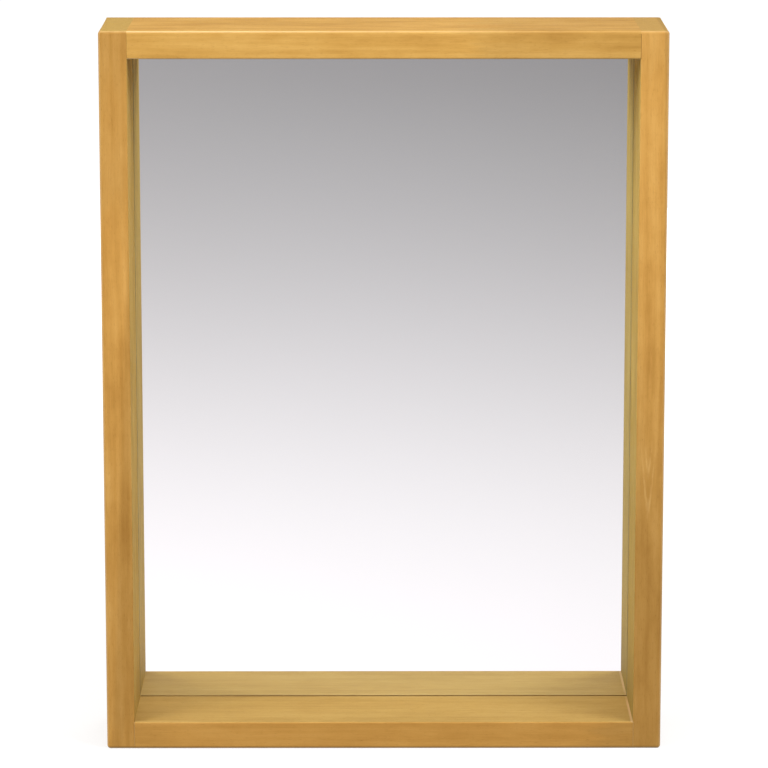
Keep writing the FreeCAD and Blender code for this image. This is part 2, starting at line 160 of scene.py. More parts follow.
class Workbench:
    """Modelling steps that the sub-assemblies share."""

    @staticmethod
    def activate(piece: Piece) -> None:
        """Make a piece the only one that is selected, and active.

        Args:
            piece: Object that the next operator works on.
        """
        bpy.ops.object.select_all(action="DESELECT")
        piece.select_set(True)
        bpy.context.view_layer.objects.active = piece

    @staticmethod
    def settle(name: str) -> Piece:
        """Name the active object and move its place, turn and scale into its mesh.

        Args:
            name: Name of the object and its mesh.

        Returns:
            The object, at the origin.
        """
        piece = bpy.context.active_object
        piece.name = piece.data.name = name
        bpy.ops.object.transform_apply(location=True, rotation=True, scale=True)
        return piece

    @classmethod
    def add(cls, name: str, primitive: Callable[..., object], **settings: object) -> Piece:
        """Add a primitive to start a piece from, with nothing else selected.

        Args:
            name: Name of the new object.
            primitive: Operator that adds it.
            settings: Settings of the operator.

        Returns:
            The object, at the origin.
        """
        bpy.ops.object.select_all(action="DESELECT")
        primitive(**settings)
        return cls.settle(name)

    @classmethod
    def block(cls, name: str, low: Sequence[float], high: Sequence[float]) -> Piece:
        """Add a cube that fills a box.

        Args:
            name: Name of the block.
            low: Lowest corner of the box.
            high: Highest corner of the box.

        Returns:
            The block.
        """
        low, high = Vector(low), Vector(high)
        return cls.add(
            name, bpy.ops.mesh.primitive_cube_add, size=1.0, location=(low + high) / 2, scale=high - low
        )

    @classmethod
    def rod(cls, name: str, start: Vector, end: Vector, radius: float, end_radius: float) -> Piece:
        """Add a round rod or cone between two points.

        Args:
            name: Name of the rod.
            start: Middle of its first end.
            end: Middle of its other end.
            radius: Radius of its first end.
            end_radius: Radius of its other end.

        Returns:
            The rod.
        """
        way = end - start
        return cls.add(
            name, bpy.ops.mesh.primitive_cone_add, vertices=ROD_SIDES, radius1=radius, radius2=end_radius,
            depth=way.length, location=(start + end) / 2, rotation=way.to_track_quat("Z", "Y").to_euler(),
        )

    @classmethod
    def edit(
        cls, piece: Piece, kind: Pick, test: Test, step: Callable[..., object], **settings: object
    ) -> None:
        """Select edges or faces by where their corners lie, and run one edit-mode step on them.

        Args:
            piece: Object to work on.
            kind: Whether edges or faces are selected.
            test: Tells from an element's corners whether it is selected.
            step: Operator to run on the selection.
            settings: Settings of the operator.
        """
        cls.activate(piece)
        bpy.ops.object.mode_set(mode="EDIT")
        bpy.context.tool_settings.mesh_select_mode = (False, kind is Pick.EDGES, kind is Pick.FACES)
        bpy.ops.mesh.select_all(action="DESELECT")
        mesh = bmesh.from_edit_mesh(piece.data)
        for element in getattr(mesh, kind.value):
            if test([corner.co for corner in element.verts]):
                element.select_set(True)
        bmesh.update_edit_mesh(piece.data)
        step(**settings)
        bpy.ops.object.mode_set(mode="OBJECT")

    @classmethod
    def round_edges(cls, piece: Piece, radius: float, steps: int, test: Test) -> None:
        """Round the edges that pass a test, in a number of flat steps."""
        settings = {"offset_type": "OFFSET", "profile": 0.5, "affect": "EDGES", "clamp_overlap": False}
        cls.edit(piece, Pick.EDGES, test, bpy.ops.mesh.bevel, offset=radius, segments=steps, **settings)

    @classmethod
    def apply(cls, piece: Piece, kind: str, **settings: object) -> None:
        """Put a modifier on a piece and apply it.

        Args:
            piece: Object to work on.
            kind: Type of the modifier.
            settings: Properties of the modifier.
        """
        modifier = piece.modifiers.new(kind.lower(), kind)
        for name, setting in settings.items():
            setattr(modifier, name, setting)
        cls.activate(piece)
        bpy.ops.object.modifier_apply(modifier=modifier.name)

    @classmethod
    def join(cls, pieces: Sequence[Piece], name: str) -> Piece:
        """Join pieces into one object.

        Args:
            pieces: Objects to join.
            name: Name of the whole.

        Returns:
            The whole.
        """
        cls.activate(pieces[0])
        for piece in pieces:
            piece.select_set(True)
        bpy.ops.object.join()
        return cls.settle(name)

    @classmethod
    def cut(cls, piece: Piece, *cutters: Piece) -> None:
        """Cut the shapes of other pieces out of a piece, and put those away.

        Args:
            piece: Object to cut.
            cutters: Shapes that are cut out.
        """
        cutter = cls.join(cutters, "cutter")
        cls.apply(
            piece, "BOOLEAN", operation="DIFFERENCE", solver="EXACT", object=cutter, use_self=True
        )
        bpy.data.objects.remove(cutter)

    @classmethod
    def copy(cls, piece: Piece, name: str, move: Matrix) -> Piece:
        """Copy a piece with a mesh of its own, and move the copy.

        Args:
            piece: Object to copy.
            name: Name of the copy.
            move: Turn and shift from the piece to the copy.

        Returns:
            The copy.
        """
        cls.activate(piece)
        bpy.ops.object.duplicate(linked=False)
        bpy.context.active_object.matrix_world = move
        return cls.settle(name)

    @classmethod
    def smooth(cls, piece: Piece) -> None:
        """Shade the rounds of a piece smoothly and keep its flat faces even.

        Args:
            piece: Object to shade.
        """
        cls.activate(piece)
        bpy.ops.object.shade_smooth_by_angle(angle=SMOOTH_ANGLE)
        cls.apply(piece, "WEIGHTED_NORMAL", keep_sharp=True)

    @staticmethod
    def hand_over(piece: Piece, node: str, slot: str, *materials: Material) -> None:
        """Dress a finished piece and let it stand for its solid.

        Args:
            piece: The finished piece.
            node: Name of the solid that it stands for.
            slot: Material slot of the record; not used.
            materials: Its materials, in the order of its faces' indices.
        """
        for material in materials:
            piece.data.materials.append(material)
        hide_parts(node)
        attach(piece, BODY)
        log.info("%s: %d faces", piece.name, len(piece.data.polygons))

    @classmethod
    def finish(cls, piece: Piece, node: str, slot: str, material: Material) -> None:
        """Smooth the rounds of a piece, and hand it over in one material."""
        cls.smooth(piece)
        cls.hand_over(piece, node, slot, material)


@dataclass(frozen=True)
class Layer:
    """One layer of soft noise: bumps per metre along each axis, detail, and weight in a sum."""

    bumps: Triple
    detail: float = 2.0
    roughness: float = 0.5
    weight: float = 1.0


class NodeSheet:
    """Nodes of one material or world, with short ways to add and join them."""

    def __init__(self, tree: bpy.types.NodeTree) -> None:
        """Take a node tree to work on."""
        self.tree = tree

    def feed(self, socket: Socket, source: Feed) -> None:
        """Set an input to a plain value, or join it to another node's output.

        Args:
            socket: The input.
            source: The plain value or the output.
        """
        if isinstance(source, Socket):
            self.tree.links.new(source, socket)
        else:
            socket.default_value = source

    def add(
        self, kind: str, inputs: dict[str | int, Feed] | None = None, **settings: object
    ) -> bpy.types.Node:
        """Add a node.

        Args:
            kind: Type of the node.
            inputs: What goes into its inputs, by name or number.
            settings: Its own properties.

        Returns:
            The node.
        """
        node = self.tree.nodes.new(kind)
        for name, setting in settings.items():
            setattr(node, name, setting)
        for name, source in (inputs or {}).items():
            self.feed(node.inputs[name], source)
        return node

    def math(self, operation: str, *values: Feed) -> Socket:
        """Work out one number from others."""
        return self.add("ShaderNodeMath", dict(enumerate(values)), operation=operation).outputs[0]

    def vector(self, operation: str, *values: Feed) -> Socket:
        """Work out one vector from others."""
        node = self.add("ShaderNodeVectorMath", dict(enumerate(values)), operation=operation)
        return node.outputs["Vector"]

    def measure(self, operation: str, *values: Feed) -> Socket:
        """Work out one number from vectors."""
        node = self.add("ShaderNodeVectorMath", dict(enumerate(values)), operation=operation)
        return node.outputs["Value"]

    def plus(self, total: Feed, part: Feed, weight: Feed) -> Socket:
        """Add a weighted part to a total."""
        return self.math("MULTIPLY_ADD", part, weight, total)

    def product(self, first: Socket, *others: Feed) -> Socket:
        """Multiply any number of values.

        Args:
            first: First value.
            others: Values that it is multiplied by.

        Returns:
            The product.
        """
        for other in others:
            first = self.math("MULTIPLY", first, other)
        return first

    def span(self, value: Feed, low: float, high: float, to_low: float = 0.0, to_high: float = 1.0) -> Socket:
        """Map one span of values to another, without going past its ends."""
        inputs = {"Value": value, "From Min": low, "From Max": high, "To Min": to_low, "To Max": to_high}
        return self.add("ShaderNodeMapRange", inputs, interpolation_type="SMOOTHSTEP").outputs["Result"]

    def level(self, share: Feed, first: Feed, second: Feed) -> Socket:
        """Mix two numbers by the share of the second."""
        return self.add("ShaderNodeMix", {0: share, 2: first, 3: second}).outputs[0]

    def mix(self, share: Feed, first: Feed, second: Feed, blend: str = "MIX") -> Socket:
        """Mix two colours.

        Args:
            share: Share of the second colour.
            first: First colour.
            second: Second colour.
            blend: How the second one is laid on the first.

        Returns:
            The mixed colour.
        """
        node = self.add("ShaderNodeMix", data_type="RGBA", blend_type=blend)
        # A mix node has inputs for each type of value, and those of its two colours are 6 and 7
        for number, source in ((0, share), (6, first), (7, second)):
            plain = isinstance(source, Socket | float)
            self.feed(node.inputs[number], source if plain else opaque(source))
        return node.outputs[2]

    def ramp(self, value: Socket, stops: Sequence[float], colours: Sequence[Colour]) -> Socket:
        """Turn a value into a colour by a row of stops.

        Args:
            value: The value.
            stops: Values of the stops, from the lowest.
            colours: Colours at the stops.

        Returns:
            The colour.
        """
        node = self.add("ShaderNodeValToRGB", {"Fac": value})
        elements = node.color_ramp.elements
        elements.remove(elements[-1])
        for number, (stop, colour) in enumerate(zip(stops, colours)):
            element = elements[0] if number == 0 else elements.new(stop)
            element.position, element.color = stop, opaque(colour)
        return node.outputs["Color"]

    def gather(self, *numbers: Feed) -> Socket:
        """Make a vector of up to three numbers."""
        return self.add("ShaderNodeCombineXYZ", dict(enumerate(numbers))).outputs[0]

    def split(self, vector: Socket) -> list[Socket]:
        """Split a vector into its three numbers."""
        return list(self.add("ShaderNodeSeparateXYZ", {0: vector}).outputs)

    def shaded(self, colour: Socket, shade: Socket) -> Socket:
        """Multiply a colour by one number."""
        return self.vector("MULTIPLY", colour, self.gather(shade, shade, shade))

    def noise(self, place: Socket, layer: Layer) -> Socket:
        """Make soft noise about one half.

        Args:
            place: Where the noise is read.
            layer: Bumps and detail of the noise.

        Returns:
            A value from zero to one.
        """
        inputs = {"Vector": self.vector("MULTIPLY", place, layer.bumps), "Scale": 1.0}
        inputs |= {"Detail": layer.detail, "Roughness": layer.roughness}
        return self.add("ShaderNodeTexNoise", inputs).outputs[0]

    def stray(self, place: Socket, layer: Layer) -> Socket:
        """Make soft noise about zero."""
        return self.math("SUBTRACT", self.noise(place, layer), 0.5)

    def cells(self, place: Socket, per_metre: float, output: str) -> Socket:
        """Make a pattern of cells, and return one of its outputs."""
        return self.add("ShaderNodeTexVoronoi", {"Vector": place, "Scale": per_metre}).outputs[output]

    def seen(self) -> tuple[Socket, Socket]:
        """Tell which rays see the surface for the eye.

        Returns:
            Whether the camera sees it, and whether it is seen in or through a piece that the camera sees.
        """
        path = self.add("ShaderNodeLightPath").outputs
        clear = self.math("MAXIMUM", path["Is Glossy Ray"], path["Is Transmission Ray"])
        straight = self.math("LESS_THAN", path["Diffuse Depth"], 0.5)
        return path["Is Camera Ray"], self.product(clear, straight)


class MaterialSheet(NodeSheet):
    """Nodes of one surface material."""

    def __init__(self, name: str) -> None:
        """Start a material with its usual shader.

        Args:
            name: Name of the material.
        """
        self.material = bpy.data.materials.new(name)
        self.material.use_nodes = True
        super().__init__(self.material.node_tree)
        self.shader = self.tree.nodes["Principled BSDF"]

    def place(self) -> Socket:
        """Return where a point lies on its object."""
        return self.add("ShaderNodeTexCoord").outputs["Object"]

    def normal(self) -> Socket:
        """Return which way the surface faces."""
        return self.add("ShaderNodeNewGeometry").outputs["Normal"]

    def bump(self, height: Socket, depth: float) -> None:
        """Raise the surface by a height, in metres at its full value."""
        node = self.add("ShaderNodeBump", {"Height": height, "Distance": depth, "Strength": 1.0})
        self.tree.links.new(node.outputs["Normal"], self.shader.inputs["Normal"])

    def finish(self, **inputs: Feed) -> Material:
        """Fill inputs of the shader.

        Args:
            inputs: What goes into them, by their names with _ for spaces.

        Returns:
            The finished material.
        """
        for name, source in inputs.items():
            self.feed(self.shader.inputs[name.replace("_", " ")], source)
        return self.material


@dataclass(frozen=True)
class Arches:
    """Nested pale lines where the saw met a growth ring, on the front of an upright board."""

    middle: float
    tip: float
    gap: float = 0.038
    steep: float = 13.0
    blunt: float = 0.0022
    height: float = 0.055
    fading: Span = (0.6, 1.3)
    thickness: float = 0.34
    strength: float = 0.27
    facing: Span = (-0.95, -0.8)
    breaks: Layer = Layer((500.0, 500.0, 90.0))
    unbroken: Span = (0.3, 0.6)

    def mask(self, sheet: MaterialSheet, place: Socket) -> Socket:
        """Work out how much a point belongs to one of the lines.

        Args:
            sheet: Nodes to add to.
            place: Where the point lies.

        Returns:
            A share from zero to the strength of the lines.
        """
        x, _, z = sheet.split(place)
        off = sheet.math("SUBTRACT", x, self.middle)
        bowl = sheet.math("SQRT", sheet.plus(self.blunt**2, off, off))
        above = sheet.math("SUBTRACT", z, self.tip)
        rise = sheet.plus(sheet.math("ADD", above, self.steep * self.blunt), bowl, -self.steep)
        half = self.gap * self.thickness
        line = sheet.span(sheet.math("PINGPONG", rise, self.gap / 2), 0.0, half, 1.0, 0.0)
        started = sheet.span(rise, -half, -half / 2)
        ended = sheet.span(above, *(self.height * share for share in self.fading), 1.0, 0.0)
        front = sheet.span(sheet.split(sheet.normal())[Y], *self.facing, 1.0, 0.0)
        whole = sheet.span(sheet.noise(place, self.breaks), *self.unbroken)
        return sheet.product(line, started, ended, front, whole, self.strength)


@dataclass(frozen=True)
class Stave:
    """Length of a board with another shade, past an edge that may lean along the grain."""

    start: float
    end: float
    shade: float
    lean: float = 0.0

    def tone(self, sheet: MaterialSheet, along: Socket, off: Socket, ragged: Feed) -> Socket:
        """Work out one before the edge, and the shade past it.

        Args:
            sheet: Nodes to add to.
            along: Place along the grain.
            off: Place across the grain, where the edge leans.
            ragged: How far the edge strays along the grain.

        Returns:
            The tone of the point.
        """
        place = sheet.math("ADD", sheet.plus(along, off, self.lean), ragged)
        return sheet.span(place, self.start, self.end, 1.0, self.shade)


@dataclass(frozen=True)
class Timber:
    """Timber that all four boards are cut from: its colours, its grain and its oiled skin."""

    # Colours of the grain, by its tone, and of the marks on it: the pale band at a board's end is a painted
    # highlight, and the pale colour of rounds lightened by use is also laid on as painted highlight and
    # painted light
    light: Colour = (0.70, 0.395, 0.112)
    middle: Colour = (0.585, 0.305, 0.072)
    dark: Colour = (0.43, 0.202, 0.039)
    tone_stops: Triple = (0.12, 0.5, 0.88)
    mean_tone: float = 0.5
    # Painted highlight: colour of the pale band at the far end of a board
    end_highlight: Colour = (0.9, 0.62, 0.36)
    pale: Colour = (0.86, 0.56, 0.22)
    # Pale colour of rounds lightened by use, also laid on as painted highlight on them and as painted light
    # in the joints beside the shelf
    rub_and_light: Colour = (1.0, 0.75, 0.42)
    gap: Colour = (0.16, 0.07, 0.015)

    # Figure, fibres and pores, each with its weight in the tone or the colour
    wander: Layer = Layer((4.0, 9.0, 9.0), detail=1.0, weight=0.009)
    streaks: Layer = Layer((5.0, 190.0, 190.0), detail=3.0, roughness=0.55, weight=0.55)
    clouds: Layer = Layer((14.0, 44.0, 44.0), weight=0.75)
    ripple: Layer = Layer((85.0, 210.0, 210.0), detail=1.0, weight=0.2)
    fibres: Layer = Layer((45.0, 1900.0, 1900.0), weight=0.16)
    fibre_tint: Colour = (0.6, 0.5, 0.4)
    pores: Layer = Layer((230.0, 3300.0, 3300.0), detail=1.0, weight=0.45)
    pore_tint: Colour = (0.45, 0.34, 0.25)
    pore_rim: Span = (0.64, 0.74)

    # Growth rings about the pith, and how strongly they show on the sides and the ends
    pith: Span = (0.09, 0.16)
    ring_gap: float = 0.0065
    ring_bends: tuple[Layer, ...] = (
        Layer((2.0, 60.0, 60.0), weight=5.0),
        Layer((1.0, 18.0, 18.0), weight=22.0),
    )
    ring_weight: float = 0.04
    end_rings: Layer = Layer((1.0, 70.0, 70.0))
    end_ring_weights: Span = (0.02, 0.14)
    end_streak_weight: float = 0.3

    # Stretches over which the shades change, ragged edges of staves, and the painted highlight at the end of
    # a board
    upright_reach: Span = (0.08, 0.55)
    level_reach: Span = (-0.2, 0.2)
    streak_rags: float = 0.09
    cloud_rags: float = 0.12
    end_highlight_share: float = 0.45
    end_highlight_rim: float = 0.0006
    end_highlight_fade: Span = (0.25, 1.0)
    end_highlight_fade_at: float = -0.005

    # Parts of a point's normal between which it comes to lie on an end, an inner face and so on
    end_facing: Span = (0.55, 0.9)
    inner_facing: Span = (0.5, 0.9)
    flat_facing: Span = (0.72, 0.97)
    joint_facing: Span = (0.1, 0.3)
    foot_facing: Span = (-0.6, -0.2)

    # Oiled skin
    roughness: float = 0.6
    streak_roughness: float = 0.12
    pore_roughness: float = 0.2
    worn_roughness: float = -0.08
    gloss: float = 0.06
    fibre_height: float = 0.35
    pore_height: float = -1.0
    relief: float = 0.00006


@dataclass(frozen=True)
class BoardCut:
    """Cut of one board: its place in the tree, its shades and its marks of making and use, with light and
    shade painted on it.
    """

    name: str
    grain: Grain
    start: Triple
    inward: Triple
    # Shades along the board on its outer sides, painted shade where they darken the stiles towards the
    # bottom; painted light and shade on its inner face, along the board, in depth and in its inner staves
    tones_and_shade: Span = (1.0, 1.0)
    inner_light_tones: Span = (1.0, 1.0)
    depth_light_tones: Span = (1.0, 1.0)
    staves: tuple[Stave, ...] = ()
    inner_light_staves: tuple[Stave, ...] = ()
    # Tints of the outer sides and the ends; the tint of the inner face is painted light, which brightens it
    # and shifts its hue
    hue: Colour = (1.0, 1.0, 1.0)
    inner_light_tint: Colour = (1.04, 1.27, 1.28)
    end_grain: Colour = (0.93, 1.08, 1.12)
    figure: float = 1.0
    arches: Arches | None = None
    # Strength of the lightening by use and painted highlight on the rounded edges, of the painted light on
    # rounds that face down, of the dark joint beside the rail and of the painted light in the joint beside
    # the shelf, and the width of the painted highlight at the far end
    wear_and_highlight: Span = (0.2, 0.2)
    foot_light: float = 0.5
    seam: float = 0.0
    joint_light: float = 0.0
    end_highlight_width: float = 0.0
    timber: Timber = Timber()

    @property
    def reach(self) -> Span:
        """Stretch along the board over which its tone changes."""
        return self.timber.upright_reach if self.grain is Grain.UPRIGHT else self.timber.level_reach

    def material(self, node: str) -> Material:
        """Make the material of the board that stands for a solid."""
        return BoardSheet(self, node).dressed()


class BoardSheet(MaterialSheet):
    """Nodes of one hardwood board, built up from its grain to its joints."""

    def __init__(self, cut: BoardCut, node: str) -> None:
        """Find where a point lies in the grain, and which way it faces.

        Args:
            cut: Cut of the board.
            node: Name of its solid.
        """
        super().__init__(cut.name)
        self.cut, self.wood = cut, cut.timber
        low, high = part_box(node)
        length, width = cut.grain.value, cut.grain.across
        self.far_end, self.front, self.glass = high[length], low.y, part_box("mirror_pane")[0].y
        self.spot = self.place()
        parts = self.split(self.spot)
        self.along, self.deep = parts[length], parts[Y]
        self.off = self.math("SUBTRACT", parts[width], (low[width] + high[width]) / 2)
        turned = self.gather(self.along, parts[width], self.deep)
        self.straight = self.vector("ADD", turned, cut.start)
        wander = self.product(self.stray(self.straight, self.wood.wander), self.wood.wander.weight)
        self.wavy = self.vector("ADD", self.straight, self.gather(0.0, wander))
        self.streaks = self.stray(self.wavy, self.wood.streaks)
        self.clouds = self.stray(self.straight, self.wood.clouds)
        self.fibres = self.noise(self.wavy, self.wood.fibres)
        self.pores = self.span(self.noise(self.wavy, self.wood.pores), *self.wood.pore_rim)
        normal = self.normal()
        self.facing = self.split(normal)
        self.sides = self.split(self.vector("ABSOLUTE", normal))
        self.toward = self.measure("DOT_PRODUCT", normal, cut.inward)
        self.inside = self.span(self.toward, *self.wood.inner_facing)
        flattest = self.math("MAXIMUM", self.math("MAXIMUM", self.sides[X], self.sides[Y]), self.sides[Z])
        self.worn = self.span(flattest, *self.wood.flat_facing, 1.0, 0.0)

    def rings(self) -> Socket:
        """Work out the growth rings about the heart of the tree.

        Returns:
            A wave about zero, one for each ring.
        """
        _, across, deep = self.split(self.wavy)
        across = self.math("ADD", across, self.wood.pith[0])
        deep = self.math("ADD", deep, self.wood.pith[1])
        radius = self.math("SQRT", self.plus(self.product(deep, deep), across, across))
        years = self.math("DIVIDE", radius, self.wood.ring_gap / math.tau)
        for bend in self.wood.ring_bends:
            years = self.plus(years, self.noise(self.straight, bend), bend.weight)
        return self.math("SINE", years)

    def bare(self) -> Socket:
        """Work out the colour of the grain: lengthwise figure on the sides, rings on the ends.

        Returns:
            The colour.
        """
        wood, rings = self.wood, self.rings()
        ripple = self.stray(self.wavy, wood.ripple)
        tone = self.plus(wood.mean_tone, rings, wood.ring_weight * self.cut.figure)
        for noise, layer in ((self.streaks, wood.streaks), (self.clouds, wood.clouds), (ripple, wood.ripple)):
            tone = self.plus(tone, noise, layer.weight * self.cut.figure)
        end = self.span(self.sides[self.cut.grain.value], *wood.end_facing)
        faint = self.span(self.noise(self.straight, wood.end_rings), *HARD, *wood.end_ring_weights)
        end_tone = self.plus(wood.mean_tone, rings, faint)
        end_tone = self.plus(end_tone, self.streaks, wood.end_streak_weight)
        tone = self.level(end, tone, end_tone)
        colour = self.ramp(tone, wood.tone_stops, (wood.dark, wood.middle, wood.light))
        fibres = self.span(self.fibres, *FIRM, 0.0, wood.fibres.weight)
        colour = self.mix(fibres, colour, wood.fibre_tint, "MULTIPLY")
        colour = self.mix(self.product(self.pores, wood.pores.weight), colour, wood.pore_tint, "MULTIPLY")
        return self.mix(end, colour, self.mix(1.0, colour, self.cut.end_grain, "MULTIPLY"))

    def toned(self, colour: Socket) -> Socket:
        """Lay shades on the grain, apart on its inner face and its other sides: darker lengths of timber,
        painted shade on the stiles, and painted light and shade on the inner face.

        Args:
            colour: Colour of the grain.

        Returns:
            The shaded colour.
        """
        cut = self.cut
        ragged = self.product(self.clouds, self.wood.cloud_rags)
        ragged = self.plus(ragged, self.streaks, self.wood.streak_rags)
        outer = [stave.tone(self, self.along, self.off, ragged) for stave in cut.staves]
        # Painted light and shade on the inner face, by its staves and by depth
        inner = [stave.tone(self, self.along, self.deep, 0.0) for stave in cut.inner_light_staves]
        inner.append(self.span(self.deep, self.front, self.glass, *cut.depth_light_tones))
        colours = []
        # Painted shade along the stiles' outer sides, and painted light on the inner face by its tint and
        # shades
        for tint, tones_and_shade, shades in ((cut.hue, cut.tones_and_shade, outer), (cut.inner_light_tint, cut.inner_light_tones, inner)):
            shade = self.product(self.span(self.along, *cut.reach, *tones_and_shade), *shades)
            colours.append(self.shaded(self.vector("MULTIPLY", colour, tint), shade))
        return self.mix(self.inside, *colours)

    def marked(self, colour: Socket) -> Socket:
        """Add the pale lines, the painted highlight at the far end, rounds lightened by use and by painted
        highlight, painted light on rounds that face down and in the joint beside the shelf, and the dark
        joint.

        Args:
            colour: Colour of the board without them.

        Returns:
            The colour with them.
        """
        cut, wood = self.cut, self.wood
        if cut.arches:
            colour = self.mix(cut.arches.mask(self, self.spot), colour, wood.pale)
        # Painted highlight: a pale band at the far end of the inner face, weaker towards the glass
        end_highlight_from = self.far_end - cut.end_highlight_width
        end_highlight = self.span(self.along, end_highlight_from, end_highlight_from + wood.end_highlight_rim, 0.0, wood.end_highlight_share)
        glass_fade = self.span(self.deep, self.glass, wood.end_highlight_fade_at, *wood.end_highlight_fade)
        colour = self.mix(self.product(end_highlight, glass_fade, self.inside), colour, wood.end_highlight)
        # Painted light: rounds that face down are lightened, lifting the shade that falls on them
        foot = self.span(self.facing[Z], *wood.foot_facing, cut.foot_light, 0.0)
        # Lightening by use on the rounds, with painted highlight, by a share that changes along the board
        wear_and_highlight = self.math("MAXIMUM", self.span(self.along, *cut.reach, *cut.wear_and_highlight), foot)
        colour = self.mix(self.product(self.worn, wear_and_highlight), colour, wood.rub_and_light)
        slant = self.span(self.math("MINIMUM", self.sides[Y], self.toward), *wood.joint_facing)
        # Painted light in the joint beside the shelf, lifting the shade of its groove
        beside_shelf = self.math("LESS_THAN", self.along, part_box("shelf_board")[1].z)
        colour = self.mix(self.product(slant, beside_shelf, cut.joint_light), colour, wood.rub_and_light)
        beside_rail = self.math("GREATER_THAN", self.along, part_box("top_rail")[0].z)
        return self.mix(self.product(slant, beside_rail, cut.seam), colour, wood.gap)

    def dressed(self) -> Material:
        """Finish the material.

        Returns:
            The material.
        """
        wood = self.wood
        rough = self.plus(wood.roughness, self.streaks, wood.streak_roughness)
        rough = self.plus(rough, self.pores, wood.pore_roughness)
        rough = self.plus(rough, self.worn, wood.worn_roughness)
        height = self.plus(self.product(self.fibres, wood.fibre_height), self.pores, wood.pore_height)
        self.bump(height, wood.relief)
        colour = self.marked(self.toned(self.bare()))
        return self.finish(Base_Color=colour, Roughness=rough, Specular_IOR_Level=wood.gloss)


CUTS: dict[str, BoardCut] = {
    "left_stile": BoardCut(
        "oiled_left_stile", Grain.UPRIGHT, start=(0.0, 0.31, 0.0), inward=(1.0, 0.0, 0.0),
        # Painted shade: darker towards the bottom on the outer sides and on the inner face
        tones_and_shade=(0.91, 1.08), inner_light_tones=(0.915, 1.0), end_grain=(1.055, 1.265, 1.345),
        staves=(
            Stave(0.26, 0.12, shade=0.86, lean=-25.0),
            Stave(0.44, 0.54, shade=0.845),
            Stave(0.59, 0.63, shade=0.93),
            Stave(0.035, 0.012, shade=1.07),
        ),
        # Painted shade at the foot of the inner face, and painted light over the top rail's shadow near its
        # top
        inner_light_staves=(Stave(0.08, 0.03, shade=0.78), Stave(0.56, 0.64, shade=1.45, lean=1.0)),
        seam=0.12, joint_light=0.4,
    # Painted light in the joint beside the shelf
    ),
    "right_stile": BoardCut(
        "oiled_right_stile", Grain.UPRIGHT, start=(3.7, 0.0, 0.4), inward=(-1.0, 0.0, 0.0),
        # Painted shade: darker towards the bottom on the outer sides and on the inner face; the inner face's
        # tint is painted light
        tones_and_shade=(0.9, 1.1), inner_light_tones=(0.82, 1.0),
        hue=(0.985, 1.0, 1.03), inner_light_tint=(1.14, 1.46, 1.48), end_grain=(0.843, 0.942, 0.955),
        staves=(
            Stave(0.40, 0.14, shade=0.85, lean=4.0),
            Stave(0.595, 0.63, shade=0.93),
            # Painted shade on the outer edge and the outer side, widening towards the top
            Stave(1.38, 1.58, shade=0.84, lean=100.0),
        ),
        # Painted shade at the foot of the inner face, and painted light over the top rail's shadow near its
        # top
        inner_light_staves=(Stave(0.11, 0.03, shade=0.7), Stave(0.56, 0.64, shade=1.4, lean=1.0)),
        # Painted light in the joint beside the shelf
        arches=Arches(middle=0.236, tip=0.221), seam=0.95, joint_light=0.4,
    ),
    "top_rail": BoardCut(
        "oiled_top_rail", Grain.LEVEL, start=(7.3, 0.2, 0.8), inward=(0.0, 0.0, -1.0),
        tones_and_shade=(1.03, 1.08), inner_light_tones=(0.955, 1.0), hue=(1.0, 1.06, 1.07),
        # Painted highlight along the front-top edge, strongest at the left
        staves=(Stave(0.075, 0.115, shade=0.87),), wear_and_highlight=(0.55, 0.1), foot_light=0.0,
    ),
    "shelf_board": BoardCut(
        "oiled_shelf", Grain.LEVEL, start=(11.9, 0.6, 0.1), inward=(0.0, 0.0, 1.0),
        # Painted light: the shelf's top is paler towards the glass, lifting the shade there
        tones_and_shade=(0.96, 0.95), inner_light_tones=(1.01, 1.0), depth_light_tones=(0.955, 1.075),
        inner_light_tint=(0.93, 1.12, 1.36), figure=0.6,
        staves=(Stave(0.165, 0.222, shade=0.82), Stave(-0.165, -0.226, shade=0.92)),
        # Painted highlight: a pale band on the top at the shelf's right end
        wear_and_highlight=(0.03, 0.0), end_highlight_width=0.0022,
    ),
}


@dataclass(frozen=True)
class Plywood:
    """Raw plywood: a peeled face veneer, with the plies showing on the edges."""

    name: str = "raw_plywood"
    light: Colour = (0.69, 0.52, 0.31)
    dark: Colour = (0.53, 0.355, 0.185)
    tone_stops: Span = (0.15, 0.85)
    mean_tone: float = 0.45
    peel: Layer = Layer((5.0, 5.0, 0.8), weight=24.0)
    late_growth: float = 3.0
    late_weight: float = -0.32
    fibres: Layer = Layer((900.0, 900.0, 16.0), detail=3.0, weight=0.45)
    ply: float = 0.00135
    ply_rim: Span = (0.4, 0.6)
    ply_shade: float = 0.62
    face_facing: Span = (0.5, 0.8)
    roughness: Span = (0.72, 0.6)
    relief: float = 0.00008

    def material(self) -> Material:
        """Make the material.

        Returns:
            The material.
        """
        sheet = MaterialSheet(self.name)
        place = sheet.place()
        peeled = sheet.math("FRACT", sheet.product(sheet.noise(place, self.peel), self.peel.weight))
        late = sheet.math("POWER", peeled, self.late_growth)
        fibres = sheet.noise(place, self.fibres)
        tone = sheet.plus(self.mean_tone, fibres, self.fibres.weight)
        tone = sheet.plus(tone, late, self.late_weight)
        colour = sheet.ramp(tone, self.tone_stops, (self.dark, self.light))
        layer = sheet.math("PINGPONG", sheet.split(place)[Y], self.ply)
        stripe = sheet.span(layer, *(self.ply * share for share in self.ply_rim), self.ply_shade, 1.0)
        flat = sheet.split(sheet.vector("ABSOLUTE", sheet.normal()))[Y]
        edge = sheet.span(flat, *self.face_facing, 1.0, 0.0)
        colour = sheet.mix(edge, colour, sheet.shaded(colour, stripe))
        sheet.bump(fibres, self.relief)
        return sheet.finish(Base_Color=colour, Roughness=sheet.span(fibres, *SOFT, *self.roughness))


